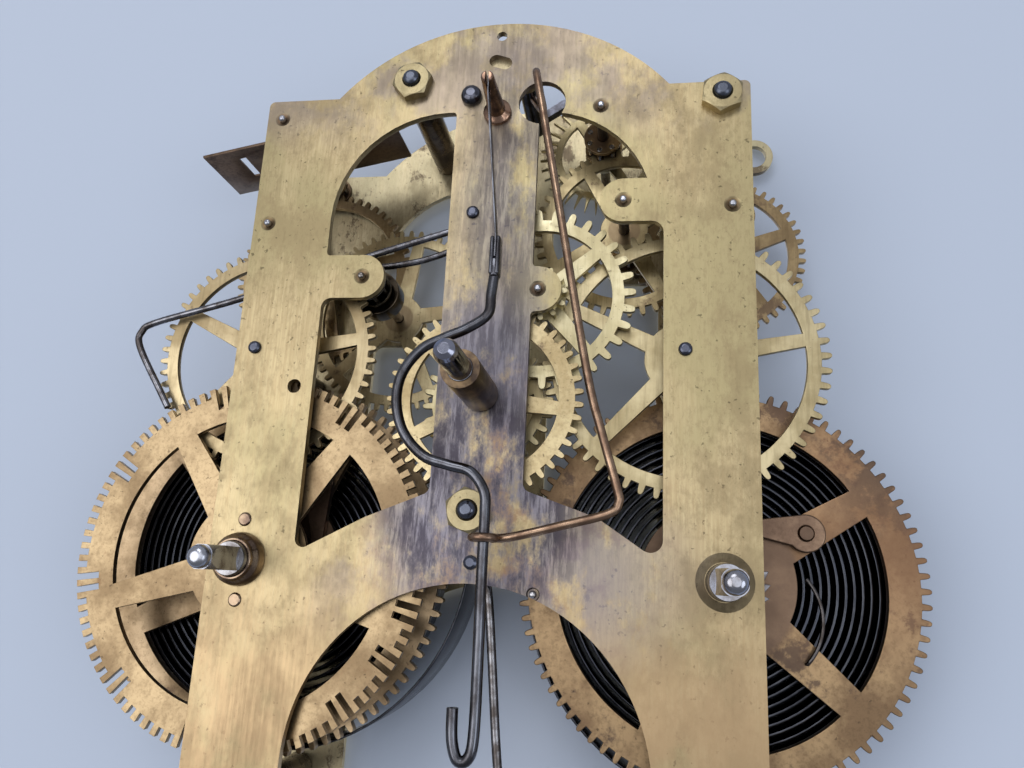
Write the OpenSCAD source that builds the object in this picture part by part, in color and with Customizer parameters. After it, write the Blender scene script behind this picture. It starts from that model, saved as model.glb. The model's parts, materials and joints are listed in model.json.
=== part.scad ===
// Spring-driven time-and-strike clock movement, upright as it is screwed in its case.
// The origin is midway between the four ear holes, on the back plate's rear face,
// and on the centre arbor's axis. X runs to the right, Y to the rear, Z up.
// Depths in the source are measured from the front plate's front face.

/* [Plates] */
// Width of the two brass plates
plate_w = 101.6; // [98:0.1:106]
// Thickness of each plate
plate_t = 1.5; // [1.2:0.1:2]
// Clear space between the plates
plate_gap = 32; // [31.5:0.1:34]
// Height of the square shoulders over the centre arbor
shoulder_h = 65.2; // [64:0.1:68]
// Length of the legs under the centre arbor
leg_drop = 80; // [79.5:0.1:90]
// Radius of the round top
arch_r = 45.4; // [44:0.1:47]
// Height of the round top's centre over the centre arbor
arch_h = 36.2; // [35:0.1:38]
// Width of each side leg
leg_w = 16.9; // [16:0.1:17.4]
// Half width of the middle column
column_half = 8.7; // [8.4:0.1:9.2]
// Radius of the tabs that carry pivots inside the openings
tab_r = 4.6; // [4:0.1:5]
// Radius of the arch cut between the legs
leg_arch_r = 32.3; // [30:0.1:33]
// Radius of the hole in front of the verge
verge_hole_r = 4.9; // [4:0.1:5.4]
// Radius of the hole in each mounting ear
ear_hole_r = 2.8; // [2:0.1:3.2]
// Wall of the ring round each ear hole
ear_wall = 1.6; // [1.2:0.1:2.4]

/* [Pillars and nuts] */
// Radius of the pillars between the plates
pillar_r = 3.1; // [2.6:0.1:3.2]
// Radius of the threaded stud in front of a pillar
stud_r = 1.7; // [1.5:0.1:2.2]
// Width of a pillar nut across its flats
nut_flats = 7.5; // [7:0.1:9.5]
// Thickness of a pillar nut
nut_t = 2; // [1.6:0.1:3.4]

/* [Time train] */
// Teeth of the great wheels
great_z = 84; // [84:12:84]
// Module of the time great wheel's teeth
time_m1 = 0.875; // [0.86:0.005:0.89]
// Module of the second wheel's teeth
time_m2 = 0.951; // [0.94:0.001:0.96]
// Module of the third wheel's teeth
time_m3 = 0.745; // [0.735:0.001:0.755]
// Module of the fourth wheel's teeth
time_m4 = 0.885; // [0.87:0.001:0.89]
// Teeth of the escape wheel
escape_z = 36; // [30:1:40]
// Tip radius of the escape wheel
escape_r = 14.6; // [13.8:0.1:14.8]

/* [Strike train] */
// Module of the strike great wheel's teeth
strike_m1 = 0.866; // [0.855:0.001:0.875]
// Module of the second strike wheel's teeth
strike_m2 = 0.819; // [0.81:0.001:0.825]
// Module of the third strike wheel's teeth
strike_m3 = 0.774; // [0.765:0.001:0.78]
// Module of the warning wheel's teeth
strike_m4 = 0.778; // [0.77:0.001:0.784]
// Outer radius of the count wheel
count_r = 35.4; // [34:0.1:35.4]
// Half length of the fly's blade
fly_half = 22.2; // [18:0.1:22.6]
// Width of the fly's blade along its arbor
fly_w = 17.6; // [14:0.1:18]

/* [Motion work] */
// Module of the minute wheel's teeth
motion_m1 = 1.12; // [1.1:0.01:1.14]
// Outer radius of the hour pipe
pipe_r = 3.4; // [3:0.1:3.6]
// Radius of the centre arbor
centre_r = 2.2; // [2:0.05:2.4]
// Length of the hour pipe in front of the plate
pipe_out = 19; // [15:0.5:24]
// Length of the centre arbor in front of the plate
centre_out = 30.9; // [27:0.1:34]

/* [Winding] */
// Width of the winding squares
square_w = 4.2; // [3.6:0.1:4.3]
// Radius of the winding arbors in the front plate
winder_r = 3.2; // [3.1:0.05:3.4]
// Length of the time winding arbor in front of the plate
time_winder_out = 16; // [12:0.5:20]
// Length of the strike winding arbor in front of the plate
strike_winder_out = 16; // [12:0.5:20]
// Teeth of the ratchets on the winding arbors
ratchet_z = 24; // [24:12:36]
// Tip radius of the ratchets
ratchet_r = 9.4; // [8.6:0.1:10]

/* [Mainsprings] */
// Turns of each mainspring
spring_turns = 18; // [12:1:20]
// Thickness of the spring steel
spring_t = 0.5; // [0.3:0.05:0.55]
// Width of the spring steel
spring_w = 14.4; // [12:0.1:14.8]
// Radius of the even turns' outside
spring_r = 33; // [31:0.1:34]

/* [Pendulum] */
// Radius of the pendulum rod's wire
rod_r = 0.95; // [0.8:0.05:1.05]
// Radius of the crutch wire
crutch_r = 0.75; // [0.6:0.05:0.8]
// Width of the suspension ribbon
ribbon_w = 2.4; // [2:0.1:3]
// Thickness of the suspension ribbon
ribbon_t = 0.3; // [0.2:0.05:0.35]
// Distance of the pendulum rod in front of the plate
rod_out = 10; // [9.5:0.1:11]

/* [Levers] */
// Radius of the lever wires
lever_r = 0.7; // [0.6:0.05:0.75]
// Radius of the hammer rod's wire
hammer_wire_r = 0.8; // [0.6:0.05:0.9]

/* [Arbors and fits] */
// Radius of the train arbors
arbor_r = 1.1; // [1:0.05:1.2]
// Radius of the small pivots
pivot_r = 0.7; // [0.6:0.05:0.8]
// Radius of the second arbors' pivots
big_pivot_r = 1.25; // [1.1:0.05:1.3]
// Thickness of the train wheels
wheel_t = 1.2; // [1:0.1:1.3]
// Thickness of the great wheels
great_t = 1.8; // [1.5:0.1:1.9]
// Radial clearance of what turns in a hole
run_fit = 0.05; // [0.03:0.01:0.08]
// Radial clearance of what is fixed in a hole
fixed_fit = 0.02; // [0.01:0.01:0.04]
// Side play of an arbor between the plates
end_play = 0.4; // [0.2:0.1:0.5]

/* [Hidden] */
$fn = 48;
SIDES = 8;
back_y = plate_t + plate_gap;
rear_y = back_y + plate_t;

// Teeth that the pinions have
lead_z = 12;
low_z = 8;
leaf_z = 7;
wheel_z = 56;
third_z = 48;
fourth_z = 42;
centre_z = 26;
cannon_z = 10;
minute_z = 32;
minute_leaf_z = 12;
hour_z = 45;
count_z = 90;

function polar(r, a) = [r * cos(a), r * sin(a)];
function centres(m, za, zb) = m * (za + zb) / 2;
function heading(a, b) = atan2(b[1] - a[1], b[0] - a[0]);
// Phase of a tooth of the second gear, so that it meshes with the first
function meshed(a, b, phase, za, zb) =
    heading(a, b) + 180 + 180 / zb - (phase - heading(a, b)) * za / zb;

// Axes in the plane of the plates, as [x, z], each placed from the one before
centre_p = [0, 0];
t2 = polar(centres(time_m2, wheel_z, centre_z), 13.6);
t1 = t2 + polar(centres(time_m1, great_z, lead_z), -81.2);
t3 = t2 + polar(centres(time_m2, wheel_z, low_z), 72.8);
t4 = t3 + polar(centres(time_m3, third_z, low_z), 175.9);
t5 = t4 + polar(centres(time_m4, fourth_z, leaf_z), 102.8);
s1 = [-t1[0], t1[1]];
s2 = s1 + polar(centres(strike_m1, great_z, lead_z), 93.5);
s3 = s2 + polar(centres(strike_m2, wheel_z, leaf_z), 35.9);
s4 = s3 + polar(centres(strike_m3, wheel_z, low_z), 150.9);
s5 = s4 + polar(centres(strike_m4, wheel_z, leaf_z), 89.5);
minute_p = polar(centres(motion_m1, cannon_z, minute_z), 65);
motion_m2 = motion_m1 * (cannon_z + minute_z) / (minute_leaf_z + hour_z);
verge_p = t5 + polar(escape_r + 3.2, 153);
crutch_hole_p = [9.2, 62.2];
lever_p = [-3.9, 37.7];
hammer_p = [-0.1, -31];
post_p = [0, 60.1];
bridge_rivet_p = [-5.7, 64.2];
slot_p = [0, 72.3];

// Phases that put every pair of wheels in mesh
ph_t1 = heading(t1, t2);
ph_t2p = meshed(t1, t2, ph_t1, great_z, lead_z);
ph_t2 = heading(t2, t3);
ph_t3p = meshed(t2, t3, ph_t2, wheel_z, low_z);
ph_t3 = heading(t3, t4);
ph_t4p = meshed(t3, t4, ph_t3, third_z, low_z);
ph_t4 = heading(t4, t5);
ph_t5p = meshed(t4, t5, ph_t4, fourth_z, leaf_z);
ph_centre = meshed(t2, centre_p, ph_t2, wheel_z, centre_z);
ph_cannon = heading(centre_p, minute_p);
ph_minute = meshed(centre_p, minute_p, ph_cannon, cannon_z, minute_z);
ph_leaf = heading(minute_p, centre_p);
ph_hour = meshed(minute_p, centre_p, ph_leaf, minute_leaf_z, hour_z);
ph_s1 = heading(s1, s2);
ph_s2p = meshed(s1, s2, ph_s1, great_z, lead_z);
ph_s2 = heading(s2, s3);
ph_s3p = meshed(s2, s3, ph_s2, wheel_z, leaf_z);
ph_s3 = heading(s3, s4);
ph_s4p = meshed(s3, s4, ph_s3, wheel_z, low_z);
ph_s4 = heading(s4, s5);
ph_s5p = meshed(s4, s5, ph_s4, wheel_z, leaf_z);

// Depths of the wheels behind the front plate's front face
y_hour = plate_t + 1.1;
y_count = plate_t + 1.3;
y_minute = plate_t + 3.1;
y_s2 = plate_t + 3.4;
y_t2 = plate_t + 5.3;
y_great = plate_t + 11.5;
y_click = y_great - 1.7;
y_t4 = plate_t + 12.5;
y_escape = plate_t + 17.7;
y_spring = y_great + great_t + 2.4;
y_t3 = plate_t + 23.5;
y_s3 = plate_t + 24.9;
y_s4 = plate_t + 28.9;
y_fly = plate_t + 5;
click_t = 1.5;
count_t = 1.2;
hammer_y = plate_t + 4.5;
lever_y = plate_t + 1.7;
lock_y = plate_t + 9.5;

// Pillars, and the pillar that holds each mainspring's outer end
top_left_pillar = [-18.6, 68];
top_right_pillar = [45.2, 61.8];
middle_pillar = [-1, -21.8];
foot_pillar_x = 42;
foot_pillar_z = -75;
pillars_at = [top_left_pillar, top_right_pillar, middle_pillar,
    [-foot_pillar_x, foot_pillar_z], [foot_pillar_x, foot_pillar_z]];
ear_x = plate_w / 2 + 5.5;
ear_z = shoulder_h + 2.2;

// A flat shape drawn in x and z, from depth y for thickness t
module flat(y, t) {
    translate([0, y + t, 0]) rotate([90, 0, 0]) linear_extrude(height = t) children();
}

// Children moved to an axis given as [x, z]
module on(p) {
    translate([p[0], 0, p[1]]) children();
}

// A turned piece about the Y axis, from a profile of [radius, depth]
module turned(profile) {
    ends = [[0, profile[0][1]], [0, profile[len(profile) - 1][1]]];
    rotate([-90, 0, 0]) rotate_extrude() polygon(concat([ends[0]], profile, [ends[1]]));
}

// Outline of a wheel with slim teeth that have rounded tips
function tooth(rp, m, pitch, a) = [
    polar(rp - 1.15 * m, a - 0.235 * pitch),
    polar(rp, a - 0.2 * pitch),
    polar(rp + 0.5 * m, a - 0.165 * pitch),
    polar(rp + 0.85 * m, a - 0.08 * pitch),
    polar(rp + 0.85 * m, a + 0.08 * pitch),
    polar(rp + 0.5 * m, a + 0.165 * pitch),
    polar(rp, a + 0.2 * pitch),
    polar(rp - 1.15 * m, a + 0.235 * pitch)];
module teeth(z, m, phase) {
    polygon([for (k = [0:z - 1]) each tooth(z * m / 2, m, 360 / z, phase + k * 360 / z)]);
}

// Openings between the spokes of a wheel
module crossings(rim, hub, spokes, width, first) {
    difference() {
        circle(r = rim);
        circle(r = hub);
        for (k = [0:spokes - 1])
            rotate(first + k * 360 / spokes)
                polygon([[0, -width * 0.68], [rim + 1, -width * 0.42],
                    [rim + 1, width * 0.42], [0, width * 0.68]]);
    }
}

// A brass train wheel with its spokes, about the Y axis
module train_wheel(z, m, phase, y, rim_w, hub, spokes, first, bore) {
    color("goldenrod")
    flat(y, wheel_t) difference() {
        teeth(z, m, phase);
        crossings(z * m / 2 - 1.15 * m - rim_w, hub, spokes, 3, first);
        circle(r = bore);
    }
}

// A lantern pinion's brass ends and core, with holes for its steel pins
function pin_r(m) = 0.19 * PI * m;
module lantern(z, m, phase, y0, y1, shaft) {
    rp = z * m / 2;
    end_t = 0.8;
    color("darkgoldenrod") {
        for (y = [y0, y1 - end_t])
            flat(y, end_t) difference() {
                circle(r = rp + pin_r(m) + 0.5);
                circle(r = shaft + fixed_fit);
                for (k = [0:z - 1])
                    translate(polar(rp, phase + k * 360 / z)) circle(r = pin_r(m) + fixed_fit);
            }
        flat(y0 + end_t, y1 - y0 - 2 * end_t) difference() {
            circle(r = shaft + 0.35);
            circle(r = shaft + fixed_fit);
        }
    }
}

// A steel arbor between the plates, with its pivots
module arbor(r, pivot, out = 0.9) {
    f = plate_t + end_play / 2;
    b = back_y - end_play / 2;
    color("slategray")
    turned([[pivot * 0.6, -out], [pivot, -out + 0.3], [pivot, f], [r, f],
        [r, b], [pivot, b], [pivot, rear_y + out - 0.3], [pivot * 0.6, rear_y + out]]);
}

// The steel pins of a lantern pinion
module pins(z, m, phase, y0, y1) {
    color("dimgray")
    for (k = [0:z - 1])
        on(polar(z * m / 2, phase + k * 360 / z))
            flat(y0, y1 - y0) circle(r = pin_r(m));
}

// Points of a smooth wire through chosen points
function spline(p, i, u) = let(a = p[max(i - 1, 0)], b = p[i], c = p[i + 1],
    d = p[min(i + 2, len(p) - 1)])
    b + 0.5 * u * (c - a + u * (2 * a - 5 * b + 4 * c - d + u * (3 * (b - c) + d - a)));
function route(p, steps) = concat(
    [for (i = [0:len(p) - 2]) for (k = [0:steps - 1]) spline(p, i, k / steps)],
    [p[len(p) - 1]]);
function unit(v) = v / norm(v);
function along(p, i) = unit(p[min(i + 1, len(p) - 1)] - p[max(i - 1, 0)]);
function sides_of(p, n, i = 0, done = []) = i == len(p) ? done :
    let(t = along(p, i), v = unit(n - (n * t) * t)) sides_of(p, v, i + 1, concat(done, [v]));

// A round wire swept along its points
module wire(p, r) {
    side = sides_of(p, unit([0.31, 0.93, 0.17]));
    rings = len(p);
    points = [for (i = [0:rings - 1]) let(t = along(p, i), v = side[i], w = cross(t, v))
        for (k = [0:SIDES - 1]) p[i] + r * (cos(k * 360 / SIDES) * v + sin(k * 360 / SIDES) * w)];
    walls = [for (i = [0:rings - 2]) for (k = [0:SIDES - 1])
        let(a = i * SIDES + k, b = i * SIDES + (k + 1) % SIDES)
        each [[a, a + SIDES, b], [b, a + SIDES, b + SIDES]]];
    front = [for (k = [1:SIDES - 2]) [0, k, k + 1]];
    last = (rings - 1) * SIDES;
    back = [for (k = [1:SIDES - 2]) [last, last + k + 1, last + k]];
    polyhedron(points, concat(walls, front, back));
}

// Points along an arc about c
function arc(c, r, from, to) =
    let(n = ceil(abs(to - from) / 7.5)) [for (k = [0:n]) c + polar(r, from + (to - from) * k / n)];

// The arc of radius r that rounds off the corner q, on the way from p to s
function corner_arc(p, q, s, r) =
    let(u = unit(p - q), v = unit(s - q), half = acos(u * v) / 2, reach = r / tan(half),
        c = q + unit(u + v) * r / sin(half), a = heading(c, q + u * reach),
        turn = (heading(c, q + v * reach) - a + 540) % 360 - 180) arc(c, r, a, a + turn);

// An outline of corners, each given as x, z and the radius that rounds it off
function rounded(list) = [for (i = [0:len(list) - 1])
    let(n = len(list), q = [list[i][0], list[i][1]], r = list[i][2],
        before = list[(i + n - 1) % n], after = list[(i + 1) % n])
    each r == 0 ? [q] : corner_arc([before[0], before[1]], q, [after[0], after[1]], r)];

function unrounded(points) = [for (p = points) [p[0], p[1], 0]];

// The outline that both plates share, with its openings
module plate_sheet() {
    inner = plate_w / 2 - leg_w;
    left_r = 23.7;
    left_top = 60.7;
    right_r = 22.6;
    right_head = [9.2, 37.4];
    tab_z = t4[1] + tab_r;
    difference() {
        union() {
            translate([-plate_w / 2, -leg_drop]) square([plate_w, leg_drop + shoulder_h]);
            translate([0, arch_h]) circle(r = arch_r);
        }
        // Left opening, with the locking arbor's tab
        polygon(rounded(concat(
            [[-column_half, left_top, 0.8], [-inner, left_top, left_r], [-inner, s3[1] + tab_r, 0.8]],
            unrounded(arc(s3, tab_r, 90, -90)),
            [[-inner, s3[1] - tab_r, 2], [-inner, -30.7, 1.6], [-20.6, -23.6, 0],
                [-column_half, -18.6, 1.8]])));
        // Right opening, with the fourth arbor's and the minute arbor's tabs
        polygon(rounded(concat(
            [[column_half, right_head[1] + right_r, 0]],
            unrounded(arc(right_head, right_r, 90, asin((tab_z - right_head[1]) / right_r))),
            unrounded(arc(t4, tab_r, 90, 270)),
            [[inner, t4[1] - tab_r, 2.4], [inner, -29.8, 2.2], [22.3, -22.2, 0],
                [column_half, -17.6, 1.8], [column_half, minute_p[1] - tab_r, 0.9]],
            unrounded(arc(minute_p, tab_r, -90, 90)),
            [[column_half, minute_p[1] + tab_r, 0.9]])));
        // The arch between the legs
        translate([0, -67]) circle(r = leg_arch_r);
        translate([-leg_arch_r, -leg_drop - 1]) square([2 * leg_arch_r, leg_drop - 66]);
        // Holes for the pillars' ends
        for (p = pillars_at) translate(p) circle(r = stud_r + fixed_fit);
        // Holes for the pivots
        for (p = [s3, s4, s5, t3, t4, t5, minute_p])
            translate(p) circle(r = pivot_r + run_fit);
        for (p = [t2, s2, lever_p, hammer_p])
            translate(p) circle(r = big_pivot_r + run_fit);
    }
}

module front_plate() {
    color("darkgoldenrod")
    flat(0, plate_t) difference() {
        plate_sheet();
        translate(centre_p) circle(r = pipe_in_r + run_fit);
        translate(t1) circle(r = winder_r + run_fit);
        translate(s1) circle(r = winder_r + run_fit);
        translate(crutch_hole_p) circle(r = verge_hole_r);
        translate(post_p) circle(r = post_tail_r + fixed_fit);
        translate(bridge_rivet_p) circle(r = rivet_r + fixed_fit);
        translate([0, 78.6]) circle(r = 1.1);
        translate([-37.6, 1.3]) circle(r = 1.4);
        // The slot through which the bridge is set
        polygon([for (end = [1, -1], k = [-6:6])
            slot_p + end * (slot_half + polar(slot_r, slot_lean + k * 15))]);
        for (z = [rivet_up, -rivet_up]) translate(s1 + [0, z]) circle(r = boss_rivet_r + fixed_fit);
    }
}

module back_plate() {
    color("goldenrod")
    flat(back_y, plate_t) difference() {
        union() {
            plate_sheet();
            for (sx = [-1, 1], z = [-ear_z, ear_z]) {
                neck = z > 0 ? -1 : 1;
                translate([sx * ear_x, z]) circle(r = ear_hole_r + ear_wall);
                polygon([[sx * ear_x, z + 1.5], [sx * ear_x, z - 1.5],
                    [sx * (plate_w / 2 - 1), z + neck * 5.4 - 1.5],
                    [sx * (plate_w / 2 - 1), z + neck * 5.4 + 1.5]]);
            }
        }
        for (sx = [-1, 1], z = [-ear_z, ear_z])
            translate([sx * ear_x, z]) circle(r = ear_hole_r);
        translate(centre_p) circle(r = centre_pivot_r + run_fit);
        translate(t1) circle(r = winder_pivot_r + run_fit);
        translate(s1) circle(r = winder_pivot_r + run_fit);
    }
}

slot_r = 1.45;
slot_half = [-1, 0.35];
slot_lean = atan2(slot_half[1], slot_half[0]);
centre_pivot_r = 1.2;
pipe_in_r = pipe_r - 0.3;
pipe_step = 1;
hand_r = centre_r - 0.1;
winder_pivot_r = 2.4;

// Pillars are shouldered in front, and riveted over behind the back plate
neck_r = stud_r + 0.45;
neck_l = 3;
module pillars() {
    color("darkgoldenrod")
    for (p = pillars_at)
        on(p) turned([[stud_r * 0.6, -nut_t - 1.2], [stud_r, -nut_t - 0.7], [stud_r, plate_t],
            [neck_r, plate_t], [neck_r, plate_t + neck_l], [pillar_r, plate_t + neck_l + 0.6],
            [pillar_r, back_y], [stud_r, back_y], [stud_r, rear_y],
            [stud_r + 0.7, rear_y], [stud_r + 0.4, rear_y + 0.7]]);
}

module pillar_nuts() {
    turn = [12, 24, 40, 8, 20];
    color("gold")
    for (i = [0:len(pillars_at) - 1])
        on(pillars_at[i]) flat(-nut_t, nut_t) difference() {
            rotate(turn[i]) circle(r = nut_flats / sqrt(3), $fn = 6);
            circle(r = stud_r + fixed_fit);
        }
}

post_tail_r = 1.6;
post_tip = 12.8;
post_tip_r = 1.25;
post_foot_r = 1.8;
slit_w = ribbon_t + 0.34;
module suspension_post() {
    color("peru")
    on(post_p) difference() {
        turned([[post_tip_r - 0.3, -post_tip], [post_tip_r, -post_tip + 0.3],
            [post_foot_r, -1.5], [post_foot_r + 1.1, -0.8], [post_foot_r + 1.1, 0],
            [post_tail_r, 0], [post_tail_r, plate_t], [post_tail_r + 0.6, plate_t],
            [post_tail_r + 0.4, plate_t + 0.6]]);
        translate([-slit_w / 2, -post_tip - 1, -4])
            cube([slit_w, post_tip + 1 - (rod_out - ribbon_w / 2 - 0.3), 8]);
    }
}

// Domed bushing of the strike winding arbor, with two rivets through the plate
boss_r = 5;
boss_t = 3.4;
boss_rivet_r = 1.3;
rivet_up = 7.4;
module winding_boss() {
    color("peru")
    on(s1) {
        difference() {
            turned([[winder_r + 0.6, -boss_t], [boss_r - 1.2, -boss_t + 0.5],
                [boss_r - 0.3, -boss_t + 1.6], [boss_r, -0.4], [boss_r, 0]]);
            flat(-boss_t - 1, boss_t + 2) circle(r = winder_r + run_fit);
        }
        for (z = [rivet_up, -rivet_up])
            translate([0, 0, z]) turned([[boss_rivet_r - 0.3, -0.35], [boss_rivet_r, -0.15],
                [boss_rivet_r, plate_t], [boss_rivet_r + 0.4, plate_t],
                [boss_rivet_r + 0.2, plate_t + 0.35]]);
    }
}

// The brass bridge behind the front plate, which carries the verge's stud
rivet_r = 1.2;
bridge_t = 1.2;
verge_stud_r = 0.9;
module verge_bridge() {
    color("goldenrod")
    flat(plate_t, bridge_t) difference() {
        union() {
            for (p = [bridge_rivet_p, slot_p, verge_p]) translate(p) circle(r = 2.7);
            polygon([bridge_rivet_p + [-2, 1.8], slot_p + [-2, 1.8],
                slot_p + [2, -1.8], bridge_rivet_p + [2, -1.8]]);
            polygon([slot_p + [1.5, 2.2], verge_p + [1.5, 2.2],
                verge_p + [-1.5, -2.2], slot_p + [-1.5, -2.2]]);
        }
        translate(bridge_rivet_p) circle(r = rivet_r + fixed_fit);
        translate(verge_p) circle(r = verge_stud_r + fixed_fit);
    }
}

module bridge_rivet() {
    color("slategray")
    on(bridge_rivet_p) turned([[1, -2], [1.8, -1.6], [2.2, -0.8], [2.1, 0], [rivet_r, 0],
        [rivet_r, plate_t + bridge_t], [rivet_r + 0.6, plate_t + bridge_t],
        [rivet_r + 0.4, plate_t + bridge_t + 0.5]]);
}

module verge_stud() {
    color("slategray")
    on(verge_p) turned([[verge_stud_r, plate_t], [verge_stud_r, y_escape + 2.6],
        [verge_stud_r - 0.3, y_escape + 2.9]]);
}

// A great wheel, its broad spokes and the rivet on which its click turns
click_at_r = 18.6;
click_rivet_r = 1.3;
great_hub = 14.4;
module great_wheel(m, phase, first, click_a) {
    color("goldenrod") {
        flat(y_great, great_t) difference() {
            teeth(great_z, m, phase);
            crossings(great_z * m / 2 - 1.15 * m - 5.6, great_hub, 5, 6.4, first);
            circle(r = winder_r + run_fit);
        }
        on(polar(click_at_r, click_a))
            flat(y_great - 2.1, 2.1) circle(r = click_rivet_r);
    }
}

// A ratchet wheel, with its teeth cut for one way of winding
module ratchet(way) {
    step = 360 / ratchet_z;
    color("dimgray")
    flat(y_click, click_t) difference() {
        polygon([for (k = [0:ratchet_z - 1]) each [polar(ratchet_r, way * k * step),
            polar(ratchet_r - 1.3, way * (k * step + 0.12 * step)),
            polar(ratchet_r - 1.3, way * (k * step + 0.2 * step))]]);
        circle(r = winder_r + fixed_fit);
    }
}

// A click, which lies clear of the ratchet's tips by the running gap
click_gap = 0.25;
module click(click_a, way) {
    p = polar(click_at_r, click_a);
    nose = polar(ratchet_r + click_gap, click_a + way * 40);
    color("peru")
    flat(y_click, click_t) difference() {
        union() {
            translate(p) circle(r = 3.5);
            polygon([p + polar(3.5, click_a + 75 * way), nose + polar(2.2, click_a + way * 60),
                nose, nose + polar(1.8, click_a - way * 30), p + polar(3.2, click_a + 200 * way)]);
        }
        translate(p) circle(r = click_rivet_r + run_fit);
    }
}

// The click's wire spring, which comes out of a spoke and bends back to the click
module click_spring(click_a, way) {
    foot = click_a - way * 72;
    path = [for (u = [0:0.125:1]) let(q = polar(20.4 - 4.6 * u * u, foot + way * 46 * u))
        [q[0], y_great - 0.95, q[1]]];
    start = [path[0][0], y_great, path[0][2]];
    color("gray") wire(concat([start], [for (q = path) q]), 0.45);
}

// A winding arbor with its square in front of the plate
spring_arbor_r = 4.5;
module winding_arbor(out) {
    square_in = -4.6;
    color("silver") {
        turned([[0.7, -out], [1.3, -out + 0.18], [1.75, -out + 0.55], [2, -out + 1.1],
            [2.05, -out + 1.9]]);
        flat(-out + 1.9, out - 1.9 + square_in) square(square_w, center = true);
        turned([[winder_r - 0.2, square_in], [winder_r, square_in + 0.4],
            [winder_r, y_great + great_t + 0.1], [spring_arbor_r, y_great + great_t + 0.1],
            [spring_arbor_r, back_y - end_play], [winder_pivot_r, back_y - end_play],
            [winder_pivot_r, rear_y + 0.6], [winder_pivot_r - 0.4, rear_y + 1]]);
    }
}

// A mainspring, one unbroken strip from its arbor to an eye round a pillar
spring_steps = 30;
spring_in = spring_arbor_r + 1.1;
spring_pitch = (spring_r - spring_in) / spring_turns;
eye_gap = 0.2;
last_turn = 0.75;
function spring_line(axis, post, way) =
    let(end_r = norm(post - axis) - pillar_r - eye_gap - spring_t / 2,
        end_a = heading(axis, post), turns = spring_turns + last_turn,
        steps = round(turns * spring_steps))
    [for (i = [0:steps]) let(n = i * turns / steps, extra = max(n - spring_turns, 0) / last_turn,
        r = spring_in + spring_pitch * min(n, spring_turns) + (end_r - spring_r) * extra * extra)
        polar(r, end_a - way * 360 * (turns - n))];
module mainspring(axis, post, way) {
    p = spring_line(axis, post, way);
    n = len(p);
    outer = [for (q = p) q * (1 + spring_t / 2 / norm(q))];
    inner = [for (i = [n - 1:-1:0]) p[i] * (1 - spring_t / 2 / norm(p[i]))];
    eye = post - axis;
    color("dimgray")
    on(axis) flat(y_spring, spring_w) difference() {
        union() {
            polygon(concat(outer, inner));
            translate(eye) circle(r = pillar_r + eye_gap + spring_t);
        }
        translate(eye) circle(r = pillar_r + eye_gap);
    }
}
echo(least_gap_between_turns = spring_pitch * cos(180 / spring_steps) - spring_t);

// The ten spokes and slots of the count wheel: a deep slot ends each run of blows
function runs(h) = h > 12 ? [] : concat([h, 1], runs(h + 1));
function sums(v, i = 0, s = 0) = i == len(v) ? [] : concat([s + v[i]], sums(v, i + 1, s + v[i]));
deep_slots = sums(runs(1));
function is_deep(k) = len([for (d = deep_slots) if (d == k + 1) d]) > 0;
slot_deep = 4.6;
slot_shallow = 1.9;
module count_wheel() {
    step = 360 / count_z;
    color("darkgoldenrod")
    on(s1) flat(y_count, count_t) difference() {
        polygon([for (k = [0:count_z - 1])
            let(low = count_r - (is_deep(k) ? slot_deep : slot_shallow),
                half = 0.6 / count_r * 180 / PI, a = -k * step)
            each [polar(count_r, a + half), polar(low, a + half * count_r / low),
                polar(low, a - half * count_r / low), polar(count_r, a - half)]]);
        crossings(count_r - 7.6, 12, 5, 5.4, 125);
        circle(r = winder_r + fixed_fit);
    }
}

// The escape wheel, with pointed teeth that lean one way
module escape_wheel() {
    step = 360 / escape_z;
    root = escape_r - 3.5;
    color("goldenrod")
    on(t5) flat(y_escape, 1) difference() {
        polygon([for (k = [0:escape_z - 1]) each [polar(root, k * step),
            polar(root + 0.6, k * step + 0.08 * step), polar(escape_r, k * step + 0.33 * step),
            polar(escape_r, k * step + 0.38 * step), polar(root + 0.6, k * step + 0.42 * step),
            polar(root, k * step + 0.5 * step)]]);
        crossings(root - 1.5, 4.2, 4, 2.2, 215);
        circle(r = arbor_r + fixed_fit);
    }
}

// The verge: a hub on its stud, and two arms whose ends stay just off the wheel
verge_gap = 0.75;
verge_hub_r = 2;
module verge() {
    toward = heading(verge_p, t5);
    spread = asin((escape_r + verge_gap) / norm(t5 - verge_p));
    reach = sqrt(pow(norm(t5 - verge_p), 2) - pow(escape_r + verge_gap, 2));
    color("lightslategray")
    on(verge_p) {
        flat(y_escape - 0.6, 2.2) difference() {
            union() {
                circle(r = verge_hub_r);
                for (s = [-1, 1])
                    rotate(toward + s * spread)
                        polygon([[0, 0], [reach + 1, 0], [reach + 1.6, s * 1.4],
                            [reach - 1, s * 1.9], [0, s * 1.6]]);
            }
            circle(r = verge_stud_r + run_fit);
        }
        flat(plate_t + bridge_t + 0.3, y_escape - 0.6 - plate_t - bridge_t - 0.3) difference() {
            circle(r = verge_hub_r);
            circle(r = verge_stud_r + run_fit);
        }
    }
}

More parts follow.
